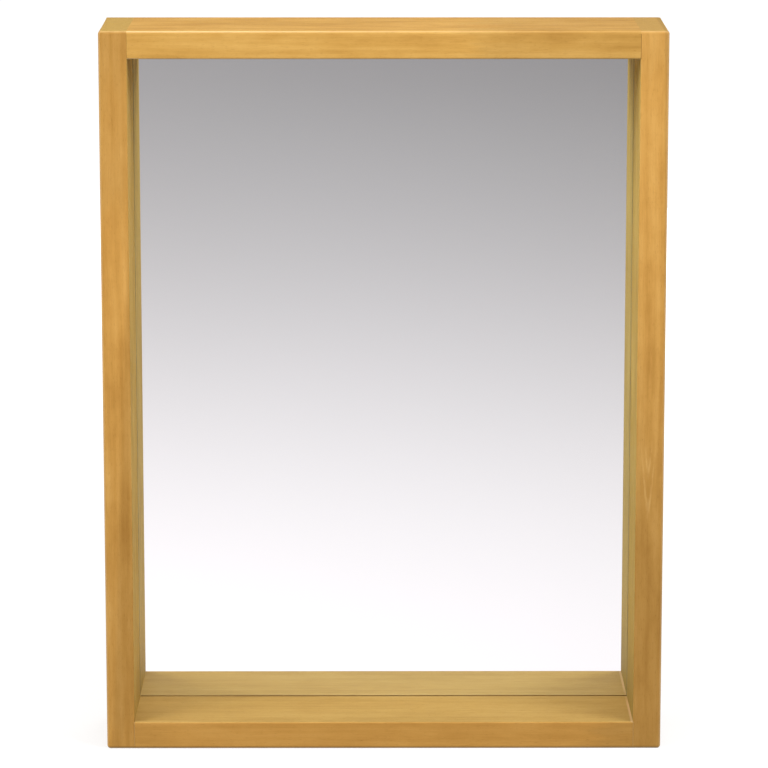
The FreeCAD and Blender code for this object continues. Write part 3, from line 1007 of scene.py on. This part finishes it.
@dataclass(frozen=True)
class RawTimber:
    """Plain unoiled timber of the small hidden pieces, with short dark flecks."""

    name: str
    grain: Grain
    colour: Colour
    fleck: Colour
    along: float
    across: float
    detail: float = 3.0
    fibre_share: float = 0.5
    fleck_fineness: float = 2.5
    fleck_rim: Span = (0.6, 0.72)
    fleck_share: float = 0.6
    roughness: Span = (0.75, 0.6)
    relief: float = 0.00006

    def material(self) -> Material:
        """Make the material.

        Returns:
            The material.
        """
        sheet = MaterialSheet(self.name)
        place = sheet.place()
        bumps = [self.across] * 3
        bumps[self.grain.value] = self.along
        fibres = sheet.noise(place, Layer(tuple(bumps), self.detail))
        finer = Layer(tuple(self.fleck_fineness * size for size in bumps), detail=1.0)
        flecks = sheet.span(sheet.noise(place, finer), *self.fleck_rim)
        colour = sheet.mix(sheet.span(fibres, *EVEN, 0.0, self.fibre_share), self.colour, self.fleck)
        colour = sheet.mix(sheet.product(flecks, self.fleck_share), colour, self.fleck)
        sheet.bump(fibres, self.relief)
        return sheet.finish(Base_Color=colour, Roughness=sheet.span(fibres, *SOFT, *self.roughness))


@dataclass(frozen=True)
class SilveredGlass:
    """Silvered side of the pane as it shows through the glass: a slightly green mirror with a faint bloom."""

    name: str = "silvered_glass"
    silver: Colour = (0.935, 0.985, 0.975)
    tint: Colour = (0.92, 0.975, 0.96)
    bloom: Layer = Layer((5.0, 5.0, 4.0), detail=3.0, weight=0.35)
    shine: float = 0.97

    def material(self) -> Material:
        """Make the material.

        Returns:
            The material.
        """
        sheet = MaterialSheet(self.name)
        bloom = sheet.noise(sheet.place(), self.bloom)
        colour = sheet.mix(sheet.span(bloom, *FIRM, 0.0, self.bloom.weight), self.silver, self.tint)
        return sheet.finish(Base_Color=colour, Metallic=self.shine, Roughness=0.0)


@dataclass(frozen=True)
class MottledCoat:
    """Dull skin of two close tones, such as a ground edge or a coat of paint."""

    name: str
    deep: Colour
    pale: Colour
    mottle: Layer
    roughness: Span
    gloss: float = 0.5
    relief: float = 0.0

    def material(self) -> Material:
        """Make the material.

        Returns:
            The material.
        """
        sheet = MaterialSheet(self.name)
        mottle = sheet.noise(sheet.place(), self.mottle)
        colour = sheet.mix(mottle, self.deep, self.pale)
        rough = sheet.span(mottle, *FIRM, *self.roughness)
        if self.relief:
            sheet.bump(mottle, self.relief)
        return sheet.finish(Base_Color=colour, Roughness=rough, Specular_IOR_Level=self.gloss)


# Olive-brown edge of the pane, partly painted shade: beside the shelf it stands in for the shelf's shadow and
# reflection in the glass
GROUND_EDGE = MottledCoat(
    "ground_glass_edge", deep=(0.13, 0.11, 0.045), pale=(0.22, 0.19, 0.09),
    mottle=Layer((900.0, 900.0, 900.0)), roughness=(0.5, 0.7), gloss=0.1,
)
BACK_PAINT = MottledCoat(
    "mirror_back_paint", deep=(0.21, 0.22, 0.23), pale=(0.28, 0.29, 0.30),
    mottle=Layer((260.0, 260.0, 40.0), detail=3.0), roughness=(0.35, 0.5), relief=0.00005,
)


@dataclass(frozen=True)
class FoamSheet:
    """Closed-cell foam with fine bubbles."""

    name: str = "backing_foam"
    pale: Colour = (0.76, 0.76, 0.74)
    hollow: Colour = (0.60, 0.60, 0.58)
    bubbles: float = 900.0
    bubble_rim: Span = (0.2, 0.7)
    roughness: Span = (0.8, 0.95)
    relief: float = 0.0001

    def material(self) -> Material:
        """Make the material.

        Returns:
            The material.
        """
        sheet = MaterialSheet(self.name)
        cells = sheet.cells(sheet.place(), self.bubbles, "Distance")
        colour = sheet.mix(sheet.span(cells, *self.bubble_rim), self.pale, self.hollow)
        sheet.bump(cells, self.relief)
        rough = sheet.span(cells, *self.bubble_rim, *self.roughness)
        return sheet.finish(Base_Color=colour, Roughness=rough)


@dataclass(frozen=True)
class PlatedSteel:
    """Steel with a thin plated skin: dull crystals and fine rubbed lines."""

    name: str
    bright: Colour
    dull: Colour
    roughness: Span
    crystals: float = 260.0
    crystal_weight: float = 0.5
    lines: Layer = Layer((2200.0, 900.0, 90.0), weight=0.5)
    relief: float = 0.00002

    def material(self) -> Material:
        """Make the material.

        Returns:
            The material.
        """
        sheet = MaterialSheet(self.name)
        place = sheet.place()
        crystals = sheet.add("ShaderNodeRGBToBW", {0: sheet.cells(place, self.crystals, "Color")}).outputs[0]
        lines = sheet.noise(place, self.lines)
        tone = sheet.plus(sheet.product(lines, self.lines.weight), crystals, self.crystal_weight)
        colour = sheet.mix(sheet.span(tone, *EVEN), self.bright, self.dull)
        sheet.bump(lines, self.relief)
        rough = sheet.span(tone, *EVEN, *self.roughness)
        return sheet.finish(Base_Color=colour, Metallic=1.0, Roughness=rough)


BRAD_STEEL = PlatedSteel(
    "bright_brad_steel", bright=(0.55, 0.54, 0.52), dull=(0.38, 0.37, 0.35), roughness=(0.30, 0.48)
)
STRAP_ZINC = PlatedSteel(
    "zinc_strap", bright=(0.74, 0.75, 0.75), dull=(0.52, 0.53, 0.54), roughness=(0.28, 0.46)
)
SCREW_ZINC = PlatedSteel(
    "zinc_screw", bright=(0.78, 0.74, 0.62), dull=(0.60, 0.56, 0.45), roughness=(0.22, 0.40), crystals=700.0
)


@dataclass
class BoxFrame:
    """Four boards of the frame, butted at the corners over dowels."""

    edge_round: float = 0.003
    lip_round: float = 0.0015
    back_round: float = 0.004
    arris: float = 0.0005
    round_steps: int = 6
    arris_steps: int = 2
    rebate_width: float = 0.008
    bore_fit: float = 0.00005
    bore_end: float = 0.001
    seat_fit: float = 0.0002
    past: float = 0.01
    dowel_finish: RawTimber = RawTimber(
        "raw_beech", Grain.LEVEL, colour=(0.68, 0.47, 0.29), fleck=(0.52, 0.32, 0.18),
        along=30.0, across=700.0,
    )

    def build(self) -> None:
        """Build and dress all pieces of the frame."""
        for side in Side:
            node = f"{side.value}_stile"
            self.dress(self.stile(node, side), node)
        for node in ("top_rail", "shelf_board"):
            self.dress(self.rail(node), node)
        beech = self.dowel_finish.material()
        for corner in ("top_left", "top_right", "bottom_left", "bottom_right"):
            dowels = bpy.data.objects[f"dowels_{corner}"]
            dowels.data.materials.clear()
            dowels.data.materials.append(beech)
            log.info("%s: dressed", dowels.name)

    def dress(self, board: Piece, node: str) -> None:
        """Give a board its own cut of timber and let it stand for its solid."""
        Workbench.finish(board, node, "oiled_hardwood", CUTS[node].material(node))

    def bores(self, *corners: str) -> list[Piece]:
        """Make the shapes of the dowel bores of some corners.

        Args:
            corners: Names of the corners, such as top_left.

        Returns:
            One rod for each bore.
        """
        rods = []
        for corner in corners:
            low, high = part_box(f"dowels_{corner}")
            half = (high.z - low.z) / 2
            radius = half + self.bore_fit
            for deep in (low.y + half, high.y - half):
                start = Vector((low.x - self.bore_end, deep, (low.z + high.z) / 2))
                end = Vector((high.x + self.bore_end, deep, start.z))
                rods.append(Workbench.rod("bore", start, end, radius, radius))
        return rods

    def stile(self, node: str, side: Side) -> Piece:
        """Shape a side board of full height with a stopped rebate at its back.

        Args:
            node: Name of its solid.
            side: Half of the frame that it stands on.

        Returns:
            The board.
        """
        low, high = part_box(node)
        pane_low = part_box("mirror_pane")[0]
        land = pane_low.z - low.z
        outer, inner = (low.x, high.x) if side is Side.LEFT else (high.x, low.x)
        board = Workbench.block(f"{node}_board", low, high)
        rebate_x = sorted((inner + side.outward * self.rebate_width, inner - side.outward * self.past))
        rebate = Workbench.block(
            "rebate",
            (rebate_x[0], pane_low.y, low.z + land),
            (rebate_x[1], high.y + self.past, high.z - land),
        )
        Workbench.cut(board, rebate, *self.bores(f"top_{side.value}", f"bottom_{side.value}"))
        shown_faces = ((X, outer), (Y, low.y), (Z, low.z), (Z, high.z))
        shown = on_any(*(on_planes(*pair) for pair in combinations(shown_faces, 2)))
        rear, seam = on_planes((X, outer), (Y, high.y)), on_planes((X, inner), (Y, low.y))
        back_round = self.back_round if side is Side.RIGHT else self.arris
        Workbench.round_edges(board, back_round, self.round_steps, rear)
        Workbench.round_edges(board, self.edge_round, self.round_steps, shown)
        Workbench.round_edges(board, self.arris, self.arris_steps, seam)
        return board

    def rail(self, node: str) -> Piece:
        """Shape a board between the stiles, with a rebate along the back of its inner face.

        Args:
            node: Name of its solid.

        Returns:
            The board.
        """
        low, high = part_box(node)
        on_top = node == "top_rail"
        outer, inner = (high.z, low.z) if on_top else (low.z, high.z)
        board = Workbench.block(f"{node}_board", low, high)
        upward = -1 if on_top else 1
        rebate_z = sorted((inner - upward * self.rebate_width, inner + upward * self.past))
        rebate = Workbench.block(
            "rebate",
            (low.x - self.past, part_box("mirror_pane")[0].y, rebate_z[0]),
            (high.x + self.past, high.y + self.past, rebate_z[1]),
        )
        corners = ("top_left", "top_right") if on_top else ("bottom_left", "bottom_right")
        seats = [self.seat(strap) for strap in ("left_hanger", "right_hanger")] if on_top else []
        Workbench.cut(board, rebate, *self.bores(*corners), *seats)
        for radius, edge in ((self.edge_round, outer), (self.lip_round, inner)):
            Workbench.round_edges(board, radius, self.round_steps, on_planes((Y, low.y), (Z, edge)))
        return board

    def seat(self, strap: str) -> Piece:
        """Make the shape of the recess that one hanging strap is let into.

        Args:
            strap: Name of the strap's solid.

        Returns:
            A block for the recess.
        """
        low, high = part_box(strap)
        fit = Vector((self.seat_fit, 0.0, self.seat_fit))
        return Workbench.block("seat", low - fit, high + fit + Vector((0.0, self.past, 0.0)))


@dataclass
class MirrorPack:
    """Pane, soft sheet and back panel that lie in the rebate."""

    glass_arris: float = 0.0005
    glass_steps: int = 1
    silver_depth: float = 0.0016
    rim: float = 0.0061
    foam_round: float = 0.0006
    foam_steps: int = 3
    panel_arris: float = 0.0003
    panel_steps: int = 2

    def build(self) -> None:
        """Build and dress the pane, the foam and the panel."""
        self.pane()
        foam = self.sheet("foam_sheet", "backing_foam", self.foam_round, self.foam_steps)
        Workbench.finish(foam, "foam_sheet", "backing_foam", FoamSheet().material())
        panel = self.sheet("back_panel", "plywood_back", self.panel_arris, self.panel_steps)
        Workbench.finish(panel, "back_panel", "plywood", Plywood().material())

    def sheet(self, node: str, name: str, radius: float, steps: int) -> Piece:
        """Shape a flat sheet with rounded edges.

        Args:
            node: Name of its solid.
            name: Name of the sheet.
            radius: Radius of its edges.
            steps: Number of flat steps round an edge.

        Returns:
            The sheet.
        """
        sheet = Workbench.block(name, *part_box(node))
        Workbench.round_edges(sheet, radius, steps, EVERYWHERE)
        return sheet

    def pane(self) -> None:
        """Shape and dress the pane: seamed edges, and the silver where it shows through the glass."""
        low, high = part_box("mirror_pane")
        pane = self.sheet("mirror_pane", "silvered_pane", self.glass_arris, self.glass_steps)
        Workbench.edit(pane, Pick.FACES, on_planes((Y, low.y)), bpy.ops.mesh.inset, thickness=self.rim)

        def inside(points: Points) -> bool:
            """Tell whether a face of the front lies inside the rim."""
            return on(points, Y, low.y) and all(abs(point.x) < high.x - self.rim for point in points)

        Workbench.edit(
            pane, Pick.FACES, inside, bpy.ops.mesh.extrude_region_move,
            TRANSFORM_OT_translate={"value": (0.0, self.silver_depth, 0.0)},
        )
        for face in pane.data.polygons:
            face.material_index = self.coat(face, low.y).value
        coats = (SilveredGlass(), GROUND_EDGE, BACK_PAINT)
        Workbench.hand_over(pane, "mirror_pane", "silvered_glass", *(coat.material() for coat in coats))

    def coat(self, face: bpy.types.MeshPolygon, front: float) -> Coat:
        """Choose the finish of one face of the pane.

        Args:
            face: The face.
            front: Where the front of the pane lies.

        Returns:
            The finish.
        """
        if face.normal.y < -SQUARE_ON and face.center.y > front + self.silver_depth / 2:
            return Coat.SILVER
        return Coat.PAINT if face.normal.y > SQUARE_ON else Coat.EDGE


@dataclass(frozen=True)
class BeadRun:
    """One bead with its number of brads, and the bead across the opening that is a copy of it."""

    side: str
    opposite: str
    grain: Grain
    brads: int

    def vector(self, along: float, across: float, deep: float = 0.0) -> Vector:
        """Make a vector from its parts along the bead, across it and in depth."""
        return Vector((along, deep, across) if self.grain is Grain.LEVEL else (across, deep, along))


@dataclass
class BeadRing:
    """Four mitred beads that hold the panel, with their brad nails."""

    nose: float = 0.003
    nose_steps: int = 6
    brad_width: float = 0.0013
    brad_thickness: float = 0.0011
    brad_head: float = 0.002
    brad_head_height: float = 0.0006
    brad_head_slope: float = 0.00003
    brad_point: float = 0.0015
    brad_point_share: float = 0.12
    brad_arris: float = 0.00012
    brad_arris_steps: int = 1
    hole_fit: float = 0.00005
    colour: Colour = (0.60, 0.36, 0.13)
    fleck: Colour = (0.42, 0.22, 0.07)
    bumps_along: float = 40.0
    bumps_across: float = 800.0
    runs: tuple[BeadRun, ...] = (
        BeadRun("bottom", "top", Grain.LEVEL, brads=3),
        BeadRun("left", "right", Grain.UPRIGHT, brads=4),
    )

    def build(self) -> None:
        """Build and dress the beads and their brads."""
        low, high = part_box("left_stile")[0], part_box("right_stile")[1]
        middle = Matrix.Translation((0.0, 0.0, (low.z + high.z) / 2))
        half_turn = middle @ Matrix.Rotation(math.pi, 4, "Y") @ middle.inverted()
        steel = BRAD_STEEL.material()
        for run in self.runs:
            timber = RawTimber(
                f"raw_bead_{run.side}", run.grain, self.colour, self.fleck,
                along=self.bumps_along, across=self.bumps_across,
            ).material()
            strip, row = self.bead(run), self.brads(run)
            self.sink(strip, run)
            copies = (
                Workbench.copy(strip, f"{run.opposite}_bead_strip", half_turn),
                Workbench.copy(row, f"{run.opposite}_brad_row", half_turn),
            )
            for side, (bead, brads) in ((run.side, (strip, row)), (run.opposite, copies)):
                Workbench.finish(bead, f"{side}_bead", "bead_hardwood", timber)
                Workbench.finish(brads, f"{side}_bead_brads", "brad_steel", steel)

    def bead(self, run: BeadRun) -> Piece:
        """Shape one bead: a strip with a round nose and mitred ends.

        Args:
            run: Bead to shape.

        Returns:
            The bead.
        """
        low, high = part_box(f"{run.side}_bead")
        length, width = run.grain.value, run.grain.across
        strip = Workbench.block(f"{run.side}_bead_strip", low, high)
        nose = on_planes((Y, high.y), (width, high[width]))
        Workbench.round_edges(strip, self.nose, self.nose_steps, nose)
        for end, way in ((low, -1.0), (high, 1.0)):
            Workbench.edit(
                strip, Pick.FACES, EVERYWHERE, bpy.ops.mesh.bisect,
                plane_co=run.vector(end[length], low[width]), plane_no=run.vector(way, 1.0),
                use_fill=True, clear_outer=True,
            )
        return strip

    def row(self, run: BeadRun) -> list[Vector]:
        """List where the middles of one bead's brad heads lie.

        Args:
            run: Bead that the brads hold.

        Returns:
            One point for each brad, on the face that its head lies in.
        """
        low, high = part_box(f"{run.side}_bead_brads")
        length, width = run.grain.value, run.grain.across
        first, last = low[length] + self.brad_head / 2, high[length] - self.brad_head / 2
        gap = (last - first) / (run.brads - 1)
        deep = (low.y + high.y) / 2
        return [run.vector(first + gap * number, high[width], deep) for number in range(run.brads)]

    def sink(self, bead: Piece, run: BeadRun) -> None:
        """Cut the small recesses that the brad heads lie in.

        Args:
            bead: Bead to cut.
            run: Its place and number of brads.
        """
        half = run.vector(self.brad_head / 2, self.brad_head_height, self.brad_thickness / 2)
        half += Vector((self.hole_fit,) * 3)
        Workbench.cut(bead, *(Workbench.block("recess", spot - half, spot + half) for spot in self.row(run)))

    def brads(self, run: BeadRun) -> Piece:
        """Shape one T-headed brad with a chisel point and copy it along its bead.

        Args:
            run: Bead that the brads hold.

        Returns:
            The row of brads.
        """
        low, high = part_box(f"{run.side}_bead_brads")
        width = run.grain.across
        spots = self.row(run)
        half = run.vector(self.brad_width / 2, 0.0, self.brad_thickness / 2)
        bottom, top = spots[0] - half, spots[0] + half
        shoulder, neck = low[width] + self.brad_point, high[width] - self.brad_head_height
        bottom[width], top[width] = shoulder, neck
        brad = Workbench.block("brad", bottom, top)
        slope = self.brad_head_slope
        for place, rise, scale in (
            (neck, slope, self.brad_head / self.brad_width),
            (neck + slope, self.brad_head_height - slope, 1.0),
            (shoulder, -self.brad_point, self.brad_point_share),
        ):
            Workbench.edit(
                brad, Pick.FACES, on_planes((width, place)), bpy.ops.mesh.extrude_region_move,
                TRANSFORM_OT_translate={"value": run.vector(0.0, rise)},
            )
            Workbench.edit(
                brad, Pick.FACES, on_planes((width, place + rise)), bpy.ops.transform.resize,
                value=run.vector(scale, 1.0, 1.0), center_override=spots[0],
            )
        head = on_planes((width, high[width]))
        Workbench.round_edges(brad, self.brad_arris, self.brad_arris_steps, head)
        rest = [Workbench.copy(brad, "brad", Matrix.Translation(spot - spots[0])) for spot in spots[1:]]
        return Workbench.join([brad, *rest], f"{run.side}_brad_row")


@dataclass
class Hangers:
    """Two keyhole straps let into the back of the top rail, with their screws."""

    end_round: float = 0.008
    top_round: float = 0.003
    corner_steps: int = 8
    entry_radius: float = 0.005
    slot_radius: float = 0.0025
    entry_rise: float = 0.011
    travel: float = 0.012
    screw_radius: float = 0.00175
    screw_head: float = 0.0035
    screw_fit: float = 0.0001
    screw_point: float = 0.004
    screw_tip: float = 0.0001
    thread_pitch: float = 0.0013
    thread_depth: float = 0.0004
    thread_steps: int = 20
    recess_reach: float = 0.0021
    recess_width: float = 0.0008
    recess_depth: float = 0.0014
    past: float = 0.005

    def build(self) -> None:
        """Build and dress the straps and screws."""
        zinc, yellow = STRAP_ZINC.material(), SCREW_ZINC.material()
        strap, screws = self.strap("left_hanger"), self.screws("left_hanger")
        move = Matrix.Translation(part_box("right_hanger")[0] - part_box("left_hanger")[0])
        copies = (
            Workbench.copy(strap, "right_hanger_strap", move),
            Workbench.copy(screws, "right_hanger_screw_pair", move),
        )
        for hanger, (plate, pair) in (("left_hanger", (strap, screws)), ("right_hanger", copies)):
            Workbench.finish(plate, hanger, "strap_steel", zinc)
            Workbench.finish(pair, f"{hanger}_screws", "screw_steel", yellow)

    def heads(self, hanger: str) -> list[Vector]:
        """List the middles of the two screw heads of one strap.

        Args:
            hanger: Name of the strap's solid.

        Returns:
            Two points on the face that the heads lie in.
        """
        low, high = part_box(f"{hanger}_screws")
        rise = (low.z + high.z) / 2
        return [Vector((x, high.y, rise)) for x in (low.x + self.screw_head, high.x - self.screw_head)]

    def strap(self, hanger: str) -> Piece:
        """Shape one strap: round corners, a keyhole and countersunk holes.

        Args:
            hanger: Name of its solid.

        Returns:
            The strap.
        """
        low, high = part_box(hanger)
        strap = Workbench.block(f"{hanger}_strap", low, high)
        for end, radius in ((low.z, self.end_round), (high.z, self.top_round)):
            corners = on_any(*(on_planes((X, side), (Z, end)) for side in (low.x, high.x)))
            Workbench.round_edges(strap, radius, self.corner_steps, corners)
        middle, entry = (low.x + high.x) / 2, low.z + self.entry_rise
        stop = entry + self.travel
        near, far = low.y - self.past, high.y + self.past
        cutters = []
        for rise, radius in ((entry, self.entry_radius), (stop, self.slot_radius)):
            start, end = Vector((middle, near, rise)), Vector((middle, far, rise))
            cutters.append(Workbench.rod("keyhole_end", start, end, radius, radius))
        half = self.slot_radius
        cutters.append(Workbench.block("slot", (middle - half, near, entry), (middle + half, far, stop)))
        clear = Vector((0.0, self.past, 0.0))
        sink, hole = self.screw_head + self.screw_fit, self.screw_radius + self.screw_fit
        for head in self.heads(hanger):
            tip = head - Vector((0.0, sink, 0.0))
            cutters.append(Workbench.rod("sink", tip, head + clear, 0.0, sink + self.past))
            cutters.append(Workbench.rod("hole", head - clear, head + clear, hole, hole))
        Workbench.cut(strap, *cutters)
        return strap

    def screws(self, hanger: str) -> Piece:
        """Shape one countersunk wood screw with a thread and a cross recess, and copy it.

        Args:
            hanger: Name of the solid of the strap that the screws hold.

        Returns:
            The two screws.
        """
        low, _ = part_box(f"{hanger}_screws")
        first, second = self.heads(hanger)

        def at(depth: float) -> Vector:
            """Return a point on the axis of the first screw."""
            return Vector((first.x, depth, first.z))

        neck, shoulder = first.y - (self.screw_head - self.screw_radius), low.y + self.screw_point
        core = self.screw_radius - self.thread_depth
        head = Workbench.rod("head", at(neck), first, self.screw_radius, self.screw_head)
        arm = Vector((self.recess_reach, self.recess_depth, self.recess_width / 2))
        turned = Vector((self.recess_width / 2, self.recess_depth, self.recess_reach))
        Workbench.cut(head, *(Workbench.block("arm", first - size, first + size) for size in (arm, turned)))
        shank = Workbench.rod("shank", at(shoulder), at(neck), core, self.screw_radius)
        point = Workbench.rod("point", at(low.y), at(shoulder), self.screw_tip, core)
        thread_start = low.y + self.screw_point / 2
        thread = self.thread(at(thread_start), neck - thread_start, core)
        screw = Workbench.join([head, shank, point, thread], "screw")
        other = Workbench.copy(screw, "other_screw", Matrix.Translation(second - first))
        return Workbench.join([screw, other], f"{hanger}_screw_pair")

    def thread(self, start: Vector, length: float, core: float) -> Piece:
        """Shape a thread as one small ridge wound round the shank.

        Args:
            start: Middle of the shank where the thread starts.
            length: How far the thread runs towards the head.
            core: Radius of the shank under the thread.

        Returns:
            The thread.
        """
        ridge = Workbench.add(
            "ridge", bpy.ops.mesh.primitive_circle_add, vertices=3, radius=self.thread_depth,
            fill_type="NGON", location=(core, 0.0, 0.0), rotation=(math.pi / 2, 0.0, 0.0),
        )
        Workbench.apply(
            ridge, "SCREW", axis="Z", screw_offset=self.thread_pitch,
            iterations=int(length / self.thread_pitch),
            steps=self.thread_steps, render_steps=self.thread_steps,
        )
        ridge.matrix_world = Matrix.Translation(start) @ Matrix.Rotation(-math.pi / 2, 4, "X")
        return Workbench.settle("thread")


@dataclass(frozen=True)
class FloorPaint:
    """Pale studio floor: white to the eye with a soft shadow, fading towards the front in a mirror."""

    name: str = "pale_floor"
    paint: Colour = (0.3, 0.3, 0.3)
    glow_reach: Span = (0.6, 2.6)
    glow: Span = (0.72, 0.94)
    nearest: float = 0.01
    pool: float = 2.063
    fade: float = 1.857
    pool_light: float = 0.855
    back_light: float = 0.25
    lean: float = -0.17
    tint: Colour = (1.03, 0.947, 0.982)

    def material(self) -> Material:
        """Make the material.

        Returns:
            The material.
        """
        sheet = MaterialSheet(self.name)
        sheet.tree.nodes.remove(sheet.shader)
        place = sheet.place()
        x, y, _ = sheet.split(place)
        ahead = sheet.math("MAXIMUM", sheet.product(y, -1.0), self.nearest)
        fall = sheet.math("POWER", sheet.math("DIVIDE", ahead, self.pool), self.fade)
        pool = sheet.math("DIVIDE", self.pool_light, sheet.math("ADD", fall, 1.0))
        pool = sheet.math("ADD", pool, self.back_light)
        pool = sheet.product(pool, sheet.plus(1.0, x, self.lean))
        white = sheet.span(sheet.measure("LENGTH", place), *self.glow_reach, *self.glow)

        by_eye, in_mirror = sheet.seen()
        paint = sheet.add("ShaderNodeBsdfDiffuse", {"Color": opaque(self.paint)}).outputs[0]
        glow = sheet.add("ShaderNodeEmission", {"Strength": white}).outputs[0]
        shown = sheet.add("ShaderNodeAddShader", {0: paint, 1: glow}).outputs[0]
        mirrored = sheet.add("ShaderNodeEmission", {"Color": opaque(self.tint), "Strength": pool}).outputs[0]
        surface = sheet.add("ShaderNodeMixShader", {0: by_eye, 1: paint, 2: shown}).outputs[0]
        surface = sheet.add("ShaderNodeMixShader", {0: in_mirror, 1: surface, 2: mirrored}).outputs[0]
        sheet.feed(sheet.tree.nodes["Material Output"].inputs["Surface"], surface)
        sheet.material.cycles.emission_sampling = "NONE"
        return sheet.material


@dataclass(frozen=True)
class Softbox:
    """One large soft lamp that looks at the object."""

    name: str
    side: float
    power: float
    rise: float = math.radians(35)
    distance: float = 3.2
    size: float = 2.2
    mirrored: bool = False

    def hang(self, target: Vector) -> None:
        """Hang the lamp and aim it.

        Args:
            target: Point that it looks at.
        """
        flat = math.cos(self.rise)
        way = Vector((flat * math.sin(self.side), -flat * math.cos(self.side), math.sin(self.rise)))
        data = bpy.data.lights.new(self.name, "AREA")
        data.shape, data.size, data.energy = "DISK", self.size, self.power
        lamp = bpy.data.objects.new(self.name, data)
        lamp.location = target + way * self.distance
        lamp.rotation_euler = way.to_track_quat("Z", "Y").to_euler()
        lamp.visible_glossy = self.mirrored
        bpy.context.scene.collection.objects.link(lamp)


@dataclass
class Studio:
    """Floor, light and camera."""

    floor_size: float = 80.0
    daylight: Colour = (1.0, 1.0, 1.0)
    ambient: float = 0.35
    backdrop_rise: Span = (0.0, 0.8)
    backdrop: Span = (0.4, 0.9)
    lamps: tuple[Softbox, ...] = (
        Softbox("left_softbox", side=math.radians(-56), power=68.0),
        Softbox("right_softbox", side=math.radians(57), power=65.0),
        Softbox("front_softbox", side=0.0, power=25.0, mirrored=True),
        Softbox("rear_softbox", side=math.radians(165), power=70.0, rise=math.radians(12)),
    )
    camera_place: Triple = (-0.009, -3.54, 1.0)
    camera_pitch: float = math.radians(10.807)
    camera_yaw: float = math.radians(0.151)
    lens: float = 186.92
    sensor: float = 36.0

    def build(self) -> None:
        """Set up the floor, the world, the lamps and the camera."""
        self.floor()
        self.world()
        low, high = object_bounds()
        for lamp in self.lamps:
            lamp.hang((low + high) / 2)
        self.camera()
        bpy.context.scene.view_settings.view_transform = "Standard"

    def floor(self) -> None:
        """Lay the floor that the frame stands on."""
        floor = Workbench.add("studio_floor", bpy.ops.mesh.primitive_plane_add, size=self.floor_size)
        floor.data.materials.append(FloorPaint().material())
        floor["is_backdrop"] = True

    def world(self) -> None:
        """Fill the room with even light: white to the eye, greyer at the horizon in a mirror."""
        world = bpy.data.worlds.new("studio")
        world.use_nodes = True
        bpy.context.scene.world = world
        sheet = NodeSheet(world.node_tree)
        way = sheet.add("ShaderNodeTexCoord").outputs["Generated"]
        backdrop = sheet.span(sheet.split(way)[Z], *self.backdrop_rise, *self.backdrop)
        by_eye, in_mirror = sheet.seen()
        strength = sheet.level(in_mirror, sheet.level(by_eye, self.ambient, 1.0), backdrop)
        background = world.node_tree.nodes["Background"]
        background.inputs["Color"].default_value = opaque(self.daylight)
        sheet.feed(background.inputs["Strength"], strength)

    def camera(self) -> None:
        """Stand the camera a little above the frame and look down at it."""
        data = bpy.data.cameras.new("camera")
        data.lens, data.sensor_width = self.lens, self.sensor
        data.clip_end = self.floor_size
        camera = bpy.data.objects.new("camera", data)
        camera.location = self.camera_place
        camera.rotation_euler = (math.pi / 2 - self.camera_pitch, 0.0, -self.camera_yaw)
        bpy.context.scene.collection.objects.link(camera)
        bpy.context.scene.camera = camera


def main() -> None:
    """Build and dress the mirror, then set up the studio."""
    logging.basicConfig(level=logging.INFO, format="%(name)s: %(message)s")
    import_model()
    for assembly in (BoxFrame(), MirrorPack(), BeadRing(), Hangers(), Studio()):
        log.info("building %s", type(assembly).__name__)
        assembly.build()


if __name__ == "__main__":
    main()
